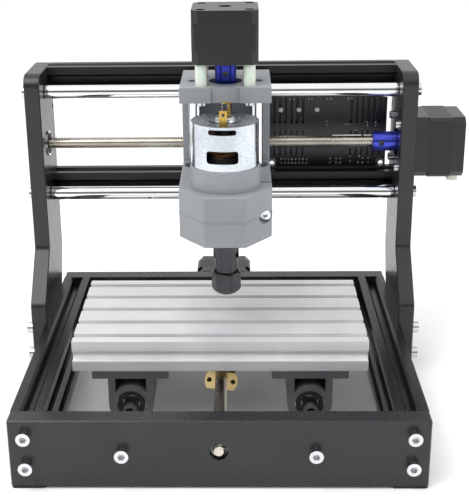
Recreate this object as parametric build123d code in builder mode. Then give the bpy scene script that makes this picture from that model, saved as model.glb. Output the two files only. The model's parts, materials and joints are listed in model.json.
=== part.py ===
"""Desktop three-axis CNC router: base, bed, gantry, X carriage, Z slide and spindle.

Machine axes: X to the right, Y to the back, Z up, millimetres. Sizes along X count from
the middle of the base, sizes along Y from the front face of the front plate, and heights
from the floor. The frame's origin is under the middle of the whole machine's box.
"""

import os

from build123d import *

# ---- Fits and clearances -------------------------------------------------------------
RUNNING = 0.05  # radial gap of a shaft in a bush, nut or bearing
SEAT = 0.02  # radial gap of a piece pressed or glued in its housing
SLACK = 0.3  # radial gap of a screw in its clearance hole
THREAD = 0.05  # radial gap drawn between a screw and its tapped hole

# ---- Fasteners -----------------------------------------------------------------------
M5 = {"shank": 2.5, "head": 4.25, "height": 5.0, "socket": 2.3}
M4 = {"shank": 2.0, "head": 3.5, "height": 4.0, "socket": 1.7}
M3 = {"shank": 1.5, "head": 2.75, "height": 3.0, "socket": 1.4}
SOCKET_SHARE = 0.6  # of a head's height that its hexagon socket takes
SCREW_TIP_GAP = 2.0  # from a screw's tip to the bottom of its tapped hole
TEE_NUT = {"width": 8.0, "length": 10.0, "thick": 1.6}

# ---- Base ----------------------------------------------------------------------------
BASE_WIDTH = 250.0
BASE_DEPTH = 240.0
PLATE_THICK = 12.0
PLATE_TOP = 46.0
FOOT_HEIGHT = 1.5
FOOT_WIDTH = 21.0
FOOT_INSET = 0.5  # the feet stop this far inside the plates' faces
FOOT_CORNER = 2.0
EDGE = 0.6  # broken edges of the plates and uprights
FINE_EDGE = 0.5  # broken edges of small turned and moulded pieces

# ---- Aluminium bar with V slots ------------------------------------------------------
CELL = 20.0
CORE_HOLE = M5["shank"] + THREAD
SLOT_MOUTH = 9.2
SLOT_NECK = 6.2
SLOT_LIP = 1.8
SLOT_SHOULDER = 1.5  # straight side of the cavity before it slopes to its floor
SLOT_CAVITY = 11.0
SLOT_DEPTH = 6.1
SLOT_FLOOR = 5.4

# ---- Guide rods and lead screws ------------------------------------------------------
ROD = 5.0
Z_ROD = 4.0
SCREW = 4.0
ROD_TAP_DEPTH = 14.0
Y_ROD_X = 57.5
Y_ROD_Z = 24.6
Y_SCREW_Z = 25.0
SCREW_WINDOW = 5.5  # hole in the front plate round the end of the Y screw
END_BEARING = {"outer": 8.0, "flange": 9.0, "flange_thick": 1.0, "length": 5.0}

# ---- Stepper motors ------------------------------------------------------------------
MOTOR = 42.3
MOTOR_LENGTH = 34.0
BELL = 9.0
BELL_CHAMFER = 4.1
STACK_CHAMFER = 2.0
MOTOR_SCREW_PITCH = 31.0
PILOT = 11.0
PILOT_HEIGHT = 2.0
MOTOR_SHAFT = 2.5
MOTOR_BEARING = {"outer": 8.0, "length": 5.0}
MOTOR_BEARING_PLAY = 1.0  # free length of each bearing pocket
MOTOR_END_HOLE = 4.2  # hole in the rear bell, over the bearing
MOTOR_BOLT_SINK = 4.0  # depth of the recesses for the through bolts
MOTOR_BOLT_GRIP = 1.6  # thread of a through bolt in the front bell
ROTOR = 12.0
ROTOR_GAP = 0.4
ROTOR_END_GAP = 1.0
SOCKET = {"width": 16.0, "depth": 6.0, "height": 7.0, "wall": 1.0, "floor": 2.0}

# ---- Shaft couplers ------------------------------------------------------------------
COUPLER = 7.0
COUPLER_LENGTH = 25.0
COUPLER_SET_SCREW = 1.9
COUPLER_EDGE = 6.0  # from each end of a coupler to its set screws
COUPLER_GAP = 0.5  # between a shaft's end and the coupler's middle
PLATE_SETBACK = 3.1  # from a motor's face to its coupler, through a plate
OPEN_SETBACK = 2.4  # the same under the Z motor

# ---- Gantry --------------------------------------------------------------------------
UPRIGHT_THICK = 11.0
UPRIGHT_TOP = 216.0
UPRIGHT_BOTTOM = 6.0
UPRIGHT_BACK = 228.0
UPRIGHT_BENDS = {"slant": 6.0, "top_back": 3.0, "top_front": 9.0}  # corner radii
UPRIGHT_BOLT_INSET = 10.0  # from the foot's front and back edges
SPARE_HOLE = {"radius": 1.8, "inset": 4.5, "height": 184.4}  # near the back edge, for leads
NECK_FRONT = 175.0
FOOT_FRONT = 145.0
FRONT_BEND = (57.0, 90.0)  # heights where the front edge slants
FOOT_BACK = 205.0
BACK_BEND = (21.5, 75.0)  # heights where the back edge slants
BAR_UPPER_Z = 205.5
BAR_LOWER_Z = 127.0
X_ROD_UPPER_Z = 200.2
X_ROD_LOWER_Z = 125.2
X_SCREW_Z = 162.9

# ---- X carriage ----------------------------------------------------------------------
CARRIAGE_X = 4.05
CARRIAGE_WIDTH = 58.6
FLANGE_BACK = 177.0
FLANGE_BOTTOM = 208.9
FLANGE_TOP = 218.7
FLANGE_RECESS = (18.5, 1.5)  # width and depth of the recess in the flange's front
SIDE_WALL = 5.0
WALL_FRONT = 152.0
SPINE_FRONT = 170.0
SPINE_BACK = 186.0
SPINE_TOP = 214.0
LOWER_SHELF = (115.0, 122.5)
LOWER_SHELF_FRONT = 130.0
BAR_GAP = 0.6  # between the carriage and the crossbars behind it
HOUSING_WALL = 3.0
HOUSING_BACK_WALL = 1.1
HOUSING_CORNER = 5.0
NUT_HOUSING_WALL = 1.5
ROD_BUSH_WALL = 4.5
ROD_BUSH_LENGTH = 24.0
BUSH_RECESS = 2.5  # from the housing's face to the bush
Z_BUSH_WALL = 3.5
Z_BUSH_LENGTH = 24.0
Z_BUSH_FLOOR = 3.0
Z_ROD_FLOOR = 2.0  # material under the Z rods, and over their upper ends
NUT = {"body": 5.1, "flange": 11.0, "flange_thick": 3.5, "length": 15.0, "flats": 6.5}
NUT_HOLE_CIRCLE = 8.0
NUT_HOLE = 1.75
Z_AXIS_Y = 140.0
Z_ROD_SPACING = 40.8
STANDOFF = 3.8
STANDOFF_HEIGHT = 13.9
COUPLER_HOLE = 11.0
MOTOR_SCREW_SPARE = 3.0  # of a bell's thickness that the mounting screws leave free

# ---- Spindle holder and spindle ------------------------------------------------------
HOLDER_BOTTOM = 129.5
HOLDER_TOP = 162.0
CAN = 21.0
SPINDLE_GAP = 25.5  # from the can's back to the Z screw's axis
FLANGE_GAP = 1.75  # from the can's back to the carriage's flange
HOLDER_CHEEK = 8.2  # thickness beside the can
HOLDER_NOSE = 6.7  # thickness in front of the can
HOLDER_FACET = 26.0
HOLDER_SHOULDER = 6.5  # from the spindle's axis forward to the corner of the facets
HOLDER_BACK = 151.0
HOLDER_CORNER = 2.0
PARTING_RIDGE = {"height": 0.5, "proud": 0.3}
CLAMP_SLIT = {"behind_axis": 4.5, "width": 2.4, "overrun": 1.0}
CLAMP_SCREW_GAP = 3.9  # from the can's side to the screw's axis
CLAMP_SCREW_Z = 144.2
CLAMP_SEAT_AHEAD = 3.5  # from the spindle's axis forward to the screw head's seat
CLAMP_SCREW_LENGTH = 20.0
CLAMP_HOLE_SPARE = 4.0
CLAMP_HEAD_GAP = 0.6
CAN_WALL = 1.4
CAN_BOTTOM = 137.6
CAN_TOP = 203.7
CAN_EDGE = 1.2
CAN_BOSS = {"radius": 8.7, "height": 4.0}
CAN_MOUNT = 14.5  # radius of the two screws that hold the can to the holder's floor
CAN_TURN = 4.5  # degrees that the can is turned to the left about its axis
SLEEVE_WALL = 1.0
SLEEVE_HEIGHT = 14.0
SLEEVE_EDGE = 0.3
WINDOW = {"width": 19.4, "height": 7.9, "corner": 1.8, "middle": 184.8}
UPPER_WINDOW = {"width": 17.0, "height": 3.3, "corner": 1.5, "middle": 200.4}
CAP_THICK = 1.5
CAP_BOSS = {"radius": 6.2, "height": 2.0}
CAP_VENT = {"circle": 10.2, "width": 2.4, "sweep": 50.0, "count": 4}
TERMINAL = {
    "radius": 12.5,
    "width": 4.8,
    "thick": 0.8,
    "height": 8.4,
    "hole": 1.1,
    "hole_drop": 2.6,
}
TERMINAL_GAP = 0.2
MAGNET = {"wall": 2.0, "start": 10.0, "length": 32.0, "gap": 10.0}
ARMATURE = {"radius": 17.0, "start": 12.0, "length": 28.0, "slots": 5, "slot_width": 2.4, "slot_depth": 3.5}
WINDING = {"radius": 14.0, "overhang": 4.0, "upper_overhang": 5.0}
COMMUTATOR = {"radius": 6.0, "start": 35.0, "length": 8.0}
SPINDLE_SHAFT = 2.5
SHAFT_TAIL = {"radius": 1.6, "rise": 9.7}  # thin end that stands out of the cap
SHAFT_GRIP = 8.0  # the shaft stops this far above the collet nut
SHANK = 8.3
SHANK_TOP = 132.5
SHANK_STEP = 114.0
SHANK_LOWER = 7.2
SHANK_NECK = {"radius": 6.6, "top": 106.5}
SHANK_SET_SCREWS = (8.0, 16.0)  # depths of the two set screws below the shank's top
SHANK_SOCKET_FLOOR = 6.0
COLLET_NUT = {"outer": 9.5, "flats": 17.0, "bottom": 90.0, "top": 104.0, "turn": -8.0}
COLLET_NUT_EDGES = {"bottom": 2.6, "top": 1.2}
COLLET_NUT_LIP = 2.0
NOSE = 6.4
COLLET = {"mouth": 5.0, "throat": 3.9, "length": 18.0, "slit": 0.3, "face": 1.0, "solid_end": 3.0}
TOOL = 3.175 / 2

# ---- Bed -----------------------------------------------------------------------------
BED_WIDTH = 188.4
BED_FRONT = 60.5
BED_BOTTOM = 48.2
BED_THICK = 20.0
BED_PITCH = 21.2
BED_SLOTS = 5
TEE = {"mouth": 5.2, "lip": 1.9, "cavity": 9.6, "depth": 6.2}
SIDE_GROOVE = (6.5, 4.0)  # height and depth
LIP_STEP = 1.0  # the lower lip stands this far out of the upper one
BLOCK_LENGTH = 29.0
BLOCK_OVERHANG = 0.5  # the front blocks stand this far out of the bed
BLOCK_CHEEK = 4.85  # thickness beside the bush
BLOCK_RING = 3.5  # thickness of the ring round the bush
BLOCK_WINDOW_GAP = 0.5
BLOCK_SCREW_GAP = 10.1  # from the block's width to the spacing of its screws
BLOCK_FLANGE = {"margin": 10.0, "thick": 5.2}
NUT_BLOCK = {"width": 18.0, "bottom": 18.0, "ahead": 18.0, "length": 32.5, "corner": 1.5}
NUT_BLOCK_WING = {"width": 56.0, "thick": 5.0}
NUT_BLOCK_SCREWS = 44.0
Y_NUT_TURN = -6.6  # degrees that the Y nut's flange is turned

# ---- Control board -------------------------------------------------------------------
BOARD_LEFT = 33.6
BOARD_WIDTH = 88.9
BOARD_BOTTOM = 134.3
BOARD_HEIGHT = 74.9
BOARD_THICK = 1.6
BOARD_EDGE = 3.7  # from the board's edges to its corner holes
BOARD_CORNER = 2.0
BOARD_SCREW_GRIP = 5.0
SPACER = {"radius": 3.0, "length": 3.0}
VENT = {"width": 2.2, "length": 20.2, "pitch": 4.25, "count": 6}
VENT_GROUPS = (-28.5, 28.5)
VENT_ROWS = (152.9, 177.7)
HEAT_SINK = {"width": 27.0, "height": 47.0, "base": 2.0, "stand": 1.5, "post": 4.0}
FIN = {"thick": 1.0, "height": 9.0, "pitch": 3.25, "count": 8}
LEAD_SOCKETS = {"spacing": 23.0, "up": 31.0, "size": (12.0, 6.0), "height": 9.0}
INPUT_SOCKETS = [  # place across and up from the board's middle, size and height
    ((-8.5, -31.0), (11.0, 11.0), 11.0),
    ((2.5, -31.0), (8.0, 12.0), 11.0),
    ((10.5, -31.0), (6.0, 8.0), 10.0),
]
CAPACITOR = {"radius": 4.0, "height": 12.0}
CAPACITOR_HEIGHTS = (-7.5, 1.5, 10.5)  # up from the board's middle
BUTTON = {"across": -34.0, "up": 27.0, "case": 8.6, "well": 6.6, "key": 6.0, "height": 7.0, "sink": 5.0}
BUTTON_TRAVEL = 1.5

# ---- Values that follow --------------------------------------------------------------
HALF = BASE_WIDTH / 2
LEFT_END = -(HALF + UPRIGHT_THICK + M5["height"])
RIGHT_END = HALF + UPRIGHT_THICK + MOTOR_LENGTH
FRONT_END = -M5["height"]
BACK_END = BASE_DEPTH + MOTOR_LENGTH
MACHINE_X = -(LEFT_END + RIGHT_END) / 2
MACHINE_Y = -(FRONT_END + BACK_END) / 2

BEAM_X = HALF - CELL / 2
BEAM_Z = PLATE_TOP - CELL
BEAM_FRONT = PLATE_THICK
BEAM_BACK = BASE_DEPTH - PLATE_THICK
BAR_Y = UPRIGHT_BACK - CELL / 2
BAR_FRONT = UPRIGHT_BACK - CELL
ROD_BUSH = ROD + ROD_BUSH_WALL
Z_BUSH = Z_ROD + Z_BUSH_WALL
HOUSING = ROD_BUSH + HOUSING_WALL
NUT_HOUSING = NUT["flange"] + NUT_HOUSING_WALL
CARRIAGE_BACK = BAR_FRONT - BAR_GAP
X_ROD_Y = CARRIAGE_BACK - HOUSING_BACK_WALL - ROD_BUSH
UPRIGHT_OUTER = HALF + UPRIGHT_THICK
BEAM_BOLT_SPOTS = [(x, BEAM_Z + dz) for x in (-BEAM_X, BEAM_X) for dz in (-CELL / 2, CELL / 2)]
Y_ROD_SPOTS = [(-Y_ROD_X, Y_ROD_Z), (Y_ROD_X, Y_ROD_Z)]
UPRIGHT_BOLT_YS = (FOOT_FRONT + UPRIGHT_BOLT_INSET, FOOT_BACK - UPRIGHT_BOLT_INSET)
UPRIGHT_BOLTS = [(y, BEAM_Z + dz) for y in UPRIGHT_BOLT_YS for dz in (-CELL / 2, CELL / 2)]
SPARE_HOLE_AT = (UPRIGHT_BACK - SPARE_HOLE["inset"], SPARE_HOLE["height"])
X_ROD_SPOTS = [(X_ROD_Y, X_ROD_UPPER_Z), (X_ROD_Y, X_ROD_LOWER_Z)]
BAR_SPOTS = [(BAR_Y, BAR_UPPER_Z), (BAR_Y, BAR_LOWER_Z)]
CARRIAGE_LEFT = CARRIAGE_X - CARRIAGE_WIDTH / 2
CARRIAGE_RIGHT = CARRIAGE_X + CARRIAGE_WIDTH / 2
Z_MOTOR_FACE = FLANGE_TOP + STANDOFF_HEIGHT
Z_ROD_XS = (CARRIAGE_X - Z_ROD_SPACING / 2, CARRIAGE_X + Z_ROD_SPACING / 2)
HOLDER_BORE = CAN + RUNNING
SPINDLE_Y = Z_AXIS_Y - SPINDLE_GAP - CAN
FLANGE_FRONT = SPINDLE_Y + CAN + FLANGE_GAP
HOLDER_WIDTH = 2 * (CAN + HOLDER_CHEEK)
HOLDER_FRONT = SPINDLE_Y - CAN - HOLDER_NOSE
SHOULDER_Y = SPINDLE_Y - HOLDER_SHOULDER
HOLDER_MIDDLE = (HOLDER_BOTTOM + HOLDER_TOP) / 2
BED_DEPTH = BED_PITCH * BED_SLOTS
BED_MIDDLE = BED_FRONT + BED_DEPTH / 2
BED_TOP = BED_BOTTOM + BED_THICK
BED_SLOT_YS = [BED_FRONT + BED_PITCH * (i + 0.5) for i in range(BED_SLOTS)]
BLOCK_YS = (BED_FRONT - BLOCK_OVERHANG, BED_FRONT + BED_DEPTH - BLOCK_LENGTH)
BLOCK_WIDTH = 2 * (ROD_BUSH + BLOCK_CHEEK)
BLOCK_SCREW_SPACING = BLOCK_WIDTH + BLOCK_SCREW_GAP
BLOCK_SCREW_YS = (BED_SLOT_YS[0], BED_SLOT_YS[-1])
BOARD_FRONT = UPRIGHT_BACK + SPACER["length"]
BOARD_BACK = BOARD_FRONT + BOARD_THICK
BOARD_X = BOARD_LEFT + BOARD_WIDTH / 2
BOARD_Z = BOARD_BOTTOM + BOARD_HEIGHT / 2
X_COUPLER_END = UPRIGHT_OUTER - PLATE_SETBACK
Y_COUPLER_END = BASE_DEPTH - PLATE_SETBACK
Z_COUPLER_TOP = Z_MOTOR_FACE - OPEN_SETBACK


# ---- Sketch planes and repeated shapes -----------------------------------------------
def seen_from_top(z):
    """Sketch X and Y are the machine's X and Y; extrusions rise."""
    return Plane(origin=(MACHINE_X, MACHINE_Y, z), x_dir=(1, 0, 0), z_dir=(0, 0, 1))


def seen_from_below(z):
    """Sketch X is X and sketch Y is minus Y; extrusions go down."""
    return Plane(origin=(MACHINE_X, MACHINE_Y, z), x_dir=(1, 0, 0), z_dir=(0, 0, -1))


def seen_from_front(y):
    """Sketch X and Y are the machine's X and Z; extrusions come forward."""
    return Plane(origin=(MACHINE_X, MACHINE_Y + y, 0), x_dir=(1, 0, 0), z_dir=(0, -1, 0))


def seen_from_back(y):
    """Sketch X is minus X and sketch Y is Z; extrusions go back."""
    return Plane(origin=(MACHINE_X, MACHINE_Y + y, 0), x_dir=(-1, 0, 0), z_dir=(0, 1, 0))


def seen_from_right(x):
    """Sketch X and Y are the machine's Y and Z; extrusions go right."""
    return Plane(origin=(MACHINE_X + x, MACHINE_Y, 0), x_dir=(0, 1, 0), z_dir=(1, 0, 0))


def seen_from_left(x):
    """Sketch X is minus Y and sketch Y is Z; extrusions go left."""
    return Plane(origin=(MACHINE_X + x, MACHINE_Y, 0), x_dir=(0, -1, 0), z_dir=(-1, 0, 0))


def turned_about_spindle(degrees):
    """Sketch X is across and Y is Z; extrusions leave the spindle's axis, turned to the left."""
    front = Plane(origin=(0, 0, 0), x_dir=(1, 0, 0), z_dir=(0, -1, 0)).rotated((0, 0, -degrees))
    axis_at = (MACHINE_X + CARRIAGE_X, MACHINE_Y + SPINDLE_Y, 0)
    return Plane(origin=axis_at, x_dir=front.x_dir, z_dir=front.z_dir)


def far_side(plane, depth):
    """The plane some way behind another, seen from behind: sketch X is reversed."""
    return Plane(origin=plane.offset(-depth).origin, x_dir=-plane.x_dir, z_dir=-plane.z_dir)


def mirrored(spots):
    """The same spots for a sketch that is seen from behind."""
    return [(-across, up) for across, up in spots]


def square(centre, pitch):
    """The four corners of a square of screws."""
    half = pitch / 2
    return [(centre[0] + a, centre[1] + b) for a in (-half, half) for b in (-half, half)]


def drilled(plane, spots, radius, depth):
    """Round holes that go depth behind the plane."""
    with BuildSketch(plane) as holes:
        with Locations(*spots):
            Circle(radius)
    extrude(holes.sketch, amount=-depth, mode=Mode.SUBTRACT)


def rods(plane, spots, radius, length):
    """Round bars that stand on the plane."""
    with BuildSketch(plane) as sections:
        with Locations(*spots):
            Circle(radius)
    extrude(sections.sketch, amount=length)


def box_on(plane, centre, size, height, mode=Mode.ADD):
    """A block that stands on the plane."""
    with BuildSketch(plane) as section:
        with Locations(centre):
            Rectangle(*size)
    extrude(section.sketch, amount=height, mode=mode)


def cap_screws(seat, spots, size, length):
    """Socket-head screws: heads stand on the seat and shanks go behind it."""
    with BuildPart() as screws:
        rods(seat, spots, size["head"], size["height"])
        rods(seat, spots, size["shank"], -length)
        with BuildSketch(seat.offset(size["height"])):
            with Locations(*spots):
                RegularPolygon(size["socket"], 6)
        extrude(amount=-SOCKET_SHARE * size["height"], mode=Mode.SUBTRACT)
    return screws.part


def ring(plane, spots, outer, inner, length):
    """Tubes that stand on the plane."""
    with BuildSketch(plane) as sections:
        with Locations(*spots):
            Circle(outer)
            Circle(inner, mode=Mode.SUBTRACT)
    extrude(sections.sketch, amount=length)


def v_slot_section(cells):
    """Section of slotted bar, one cell wide and some cells high."""
    with BuildSketch() as slot:
        with BuildLine():
            Polyline(
                (0, 0),
                (0, SLOT_MOUTH / 2),
                (-(SLOT_MOUTH - SLOT_NECK) / 2, SLOT_NECK / 2),
                (-SLOT_LIP, SLOT_NECK / 2),
                (-SLOT_LIP, SLOT_CAVITY / 2),
                (-SLOT_LIP - SLOT_SHOULDER, SLOT_CAVITY / 2),
                (-SLOT_DEPTH, SLOT_FLOOR / 2),
                (-SLOT_DEPTH, 0),
            )
            mirror(about=Plane.XZ)
        make_face()
    half = CELL / 2
    rows = [CELL * (i - (cells - 1) / 2) for i in range(cells)]
    with BuildSketch() as section:
        Rectangle(CELL, CELL * cells)
        for row in rows:
            with Locations((half, row)):
                add(slot.sketch, mode=Mode.SUBTRACT)
            with Locations((-half, row)):
                add(slot.sketch, rotation=180, mode=Mode.SUBTRACT)
            with Locations((0, row)):
                Circle(CORE_HOLE, mode=Mode.SUBTRACT)
        with Locations((0, half * cells)):
            add(slot.sketch, rotation=90, mode=Mode.SUBTRACT)
        with Locations((0, -half * cells)):
            add(slot.sketch, rotation=-90, mode=Mode.SUBTRACT)
        if cells > 1:
            Rectangle(SLOT_NECK, CELL - 2 * SLOT_FLOOR, mode=Mode.SUBTRACT)
    return section.sketch


def finish_part(part, name):
    """Label a piece and write it to its own file."""
    part.label = name
    export_step(part, f"parts/{name}.step")


os.makedirs("parts", exist_ok=True)

# ---- Base: front and rear plates, side beams, feet -----------------------------------
with BuildPart() as front_plate:
    plate_size = (BASE_WIDTH, PLATE_TOP - FOOT_HEIGHT)
    plate_centre = (0, (PLATE_TOP + FOOT_HEIGHT) / 2)
    box_on(seen_from_front(PLATE_THICK), plate_centre, plate_size, PLATE_THICK)
    chamfer(front_plate.edges().filter_by(Axis.Y), EDGE)
    chamfer(front_plate.faces().sort_by(Axis.Y)[0].edges(), EDGE)
    drilled(seen_from_front(0), BEAM_BOLT_SPOTS + Y_ROD_SPOTS, M5["shank"] + SLACK, PLATE_THICK)
    drilled(seen_from_front(0), [(0, Y_SCREW_Z)], SCREW_WINDOW, PLATE_THICK)
    pocket = END_BEARING["length"] - END_BEARING["flange_thick"]
    drilled(seen_from_back(PLATE_THICK), [(0, Y_SCREW_Z)], END_BEARING["outer"] + SEAT, pocket)
finish_part(front_plate.part, "front_plate")

with BuildPart() as rear_plate:
    box_on(seen_from_front(BASE_DEPTH), plate_centre, plate_size, PLATE_THICK)
    chamfer(rear_plate.edges().filter_by(Axis.Y), EDGE)
    chamfer(rear_plate.faces().sort_by(Axis.Y)[-1].edges(), EDGE)
    rear_holes = mirrored(BEAM_BOLT_SPOTS + Y_ROD_SPOTS)
    drilled(seen_from_back(BASE_DEPTH), rear_holes, M5["shank"] + SLACK, PLATE_THICK)
    y_motor_spots = square((0, Y_SCREW_Z), MOTOR_SCREW_PITCH)
    drilled(seen_from_back(BASE_DEPTH), y_motor_spots, M3["shank"] + SLACK, PLATE_THICK)
    drilled(seen_from_back(BASE_DEPTH), [(0, Y_SCREW_Z)], PILOT + RUNNING, PLATE_THICK)
finish_part(rear_plate.part, "rear_plate")

with BuildPart() as side_beams:
    with BuildSketch(seen_from_front(BEAM_BACK)):
        for beam_x in (-BEAM_X, BEAM_X):
            with Locations((beam_x, BEAM_Z)):
                add(v_slot_section(2))
    extrude(amount=BEAM_BACK - BEAM_FRONT)
finish_part(side_beams.part, "side_beams")

with BuildPart() as rubber_feet:
    for foot_y in (PLATE_THICK / 2, BASE_DEPTH - PLATE_THICK / 2):
        with BuildSketch(seen_from_top(0)):
            with Locations((-HALF + FOOT_WIDTH / 2, foot_y), (HALF - FOOT_WIDTH / 2, foot_y)):
                RectangleRounded(FOOT_WIDTH, PLATE_THICK - 2 * FOOT_INSET, FOOT_CORNER)
        extrude(amount=FOOT_HEIGHT)
finish_part(rubber_feet.part, "rubber_feet")

# ---- Gantry: uprights and crossbars --------------------------------------------------
UPRIGHT_HOLES = UPRIGHT_BOLTS + X_ROD_SPOTS + BAR_SPOTS


def upright_blank(inner_face):
    """Flat upright with its bolt holes, standing on the given plane."""
    with BuildPart() as blank:
        with BuildSketch(inner_face) as outline:
            with BuildLine():
                Polyline(
                    (FOOT_FRONT, UPRIGHT_BOTTOM),
                    (FOOT_FRONT, FRONT_BEND[0]),
                    (NECK_FRONT, FRONT_BEND[1]),
                    (NECK_FRONT, UPRIGHT_TOP),
                    (UPRIGHT_BACK, UPRIGHT_TOP),
                    (UPRIGHT_BACK, BACK_BEND[1]),
                    (FOOT_BACK, BACK_BEND[0]),
                    (FOOT_BACK, UPRIGHT_BOTTOM),
                    close=True,
                )
            make_face()
            fillet(outline.vertices().sort_by(Axis.Y)[2:6], UPRIGHT_BENDS["slant"])
            top_back = outline.vertices().group_by(Axis.Y)[-1].sort_by(Axis.X)[-1]
            fillet(top_back, UPRIGHT_BENDS["top_back"])
            top_front = outline.vertices().group_by(Axis.Y)[-1].sort_by(Axis.X)[0]
            fillet(top_front, UPRIGHT_BENDS["top_front"])
        extrude(amount=UPRIGHT_THICK)
        chamfer(blank.faces().filter_by(Axis.X).edges(), EDGE)
        top = inner_face.offset(UPRIGHT_THICK)
        drilled(top, UPRIGHT_HOLES, M5["shank"] + SLACK, UPRIGHT_THICK)
        drilled(top, [SPARE_HOLE_AT], SPARE_HOLE["radius"], UPRIGHT_THICK)
    return blank.part


with BuildPart() as upright_left:
    add(upright_blank(seen_from_right(-UPRIGHT_OUTER)))
    bearing_seat = [(X_ROD_Y, X_SCREW_Z)]
    drilled(seen_from_right(-HALF), bearing_seat, END_BEARING["outer"] + SEAT, pocket)
    drilled(seen_from_right(-HALF), bearing_seat, SCREW_WINDOW, UPRIGHT_THICK)
finish_part(upright_left.part, "upright_left")

with BuildPart() as upright_right:
    add(upright_blank(seen_from_right(HALF)))
    x_motor_spots = square((X_ROD_Y, X_SCREW_Z), MOTOR_SCREW_PITCH)
    drilled(seen_from_right(UPRIGHT_OUTER), x_motor_spots, M3["shank"] + SLACK, UPRIGHT_THICK)
    drilled(seen_from_right(UPRIGHT_OUTER), [(X_ROD_Y, X_SCREW_Z)], PILOT + RUNNING, UPRIGHT_THICK)
finish_part(upright_right.part, "upright_right")

with BuildPart() as crossbars:
    with BuildSketch(seen_from_right(-HALF)):
        for spot in BAR_SPOTS:
            with Locations(spot):
                add(v_slot_section(1))
    extrude(amount=BASE_WIDTH)
finish_part(crossbars.part, "crossbars")

# ---- Guide rods ----------------------------------------------------------------------
with BuildPart() as x_rods:
    rods(seen_from_right(-HALF), X_ROD_SPOTS, ROD, BASE_WIDTH)
    chamfer(x_rods.edges().filter_by(GeomType.CIRCLE), EDGE)
    drilled(seen_from_right(HALF), X_ROD_SPOTS, M5["shank"] + THREAD, ROD_TAP_DEPTH)
    drilled(seen_from_left(-HALF), mirrored(X_ROD_SPOTS), M5["shank"] + THREAD, ROD_TAP_DEPTH)
finish_part(x_rods.part, "x_rods")

with BuildPart() as y_rods:
    rods(seen_from_front(BEAM_BACK), Y_ROD_SPOTS, ROD, BEAM_BACK - BEAM_FRONT)
    chamfer(y_rods.edges().filter_by(GeomType.CIRCLE), EDGE)
    drilled(seen_from_front(BEAM_FRONT), Y_ROD_SPOTS, M5["shank"] + THREAD, ROD_TAP_DEPTH)
    drilled(seen_from_back(BEAM_BACK), Y_ROD_SPOTS, M5["shank"] + THREAD, ROD_TAP_DEPTH)
finish_part(y_rods.part, "y_rods")

# ---- Screws and tee nuts of the frame ------------------------------------------------
PLATE_SCREW = PLATE_THICK + ROD_TAP_DEPTH - SCREW_TIP_GAP
UPRIGHT_SCREW = UPRIGHT_THICK + ROD_TAP_DEPTH - SCREW_TIP_GAP
BEAM_SCREW = UPRIGHT_THICK + SLOT_LIP + TEE_NUT["thick"] + SLOT_SHOULDER

with BuildPart() as frame_screws:
    add(cap_screws(seen_from_front(0), BEAM_BOLT_SPOTS + Y_ROD_SPOTS, M5, PLATE_SCREW))
    add(cap_screws(seen_from_back(BASE_DEPTH), rear_holes, M5, PLATE_SCREW))
    gantry_ends = X_ROD_SPOTS + BAR_SPOTS
    add(cap_screws(seen_from_right(UPRIGHT_OUTER), gantry_ends, M5, UPRIGHT_SCREW))
    add(cap_screws(seen_from_left(-UPRIGHT_OUTER), mirrored(gantry_ends), M5, UPRIGHT_SCREW))
    add(cap_screws(seen_from_right(UPRIGHT_OUTER), UPRIGHT_BOLTS, M5, BEAM_SCREW))
    add(cap_screws(seen_from_left(-UPRIGHT_OUTER), mirrored(UPRIGHT_BOLTS), M5, BEAM_SCREW))
finish_part(frame_screws.part, "frame_screws")


def tee_nuts(lip_plane, spots, tapped):
    """Slot nuts behind the lips of a slot, with a tapped hole."""
    with BuildPart() as nuts:
        with BuildSketch(lip_plane):
            with Locations(*spots):
                Rectangle(TEE_NUT["length"], TEE_NUT["width"])
        extrude(amount=-TEE_NUT["thick"])
        drilled(lip_plane, spots, tapped + THREAD, TEE_NUT["thick"])
    return nuts.part


with BuildPart() as beam_tee_nuts:
    behind_lip = HALF - SLOT_LIP - SEAT
    add(tee_nuts(seen_from_right(behind_lip), UPRIGHT_BOLTS, M5["shank"]))
    add(tee_nuts(seen_from_left(-behind_lip), mirrored(UPRIGHT_BOLTS), M5["shank"]))
finish_part(beam_tee_nuts.part, "beam_tee_nuts")


# ---- Bearings at the far ends of the X and Y screws ----------------------------------
def flanged_bearing(flange_plane, spot):
    """Flanged ball bearing: its flange stands on the plane, its body goes behind."""
    with BuildPart() as bearing:
        ring(flange_plane, [spot], END_BEARING["flange"], SCREW + RUNNING, END_BEARING["flange_thick"])
        ring(flange_plane, [spot], END_BEARING["outer"], SCREW + RUNNING, -pocket)
    return bearing.part


with BuildPart() as end_bearings:
    add(flanged_bearing(seen_from_back(PLATE_THICK), (0, Y_SCREW_Z)))
    add(flanged_bearing(seen_from_right(-HALF), (X_ROD_Y, X_SCREW_Z)))


# ---- Stepper motors ------------------------------------------------------------------
def motor_blank(plane, centre, corner, length):
    """Square block with cut corners that goes behind the plane."""
    with BuildSketch(plane) as outline:
        with Locations(centre):
            Rectangle(MOTOR, MOTOR)
        chamfer(outline.vertices(), corner)
    extrude(outline.sketch, amount=-length)


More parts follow.
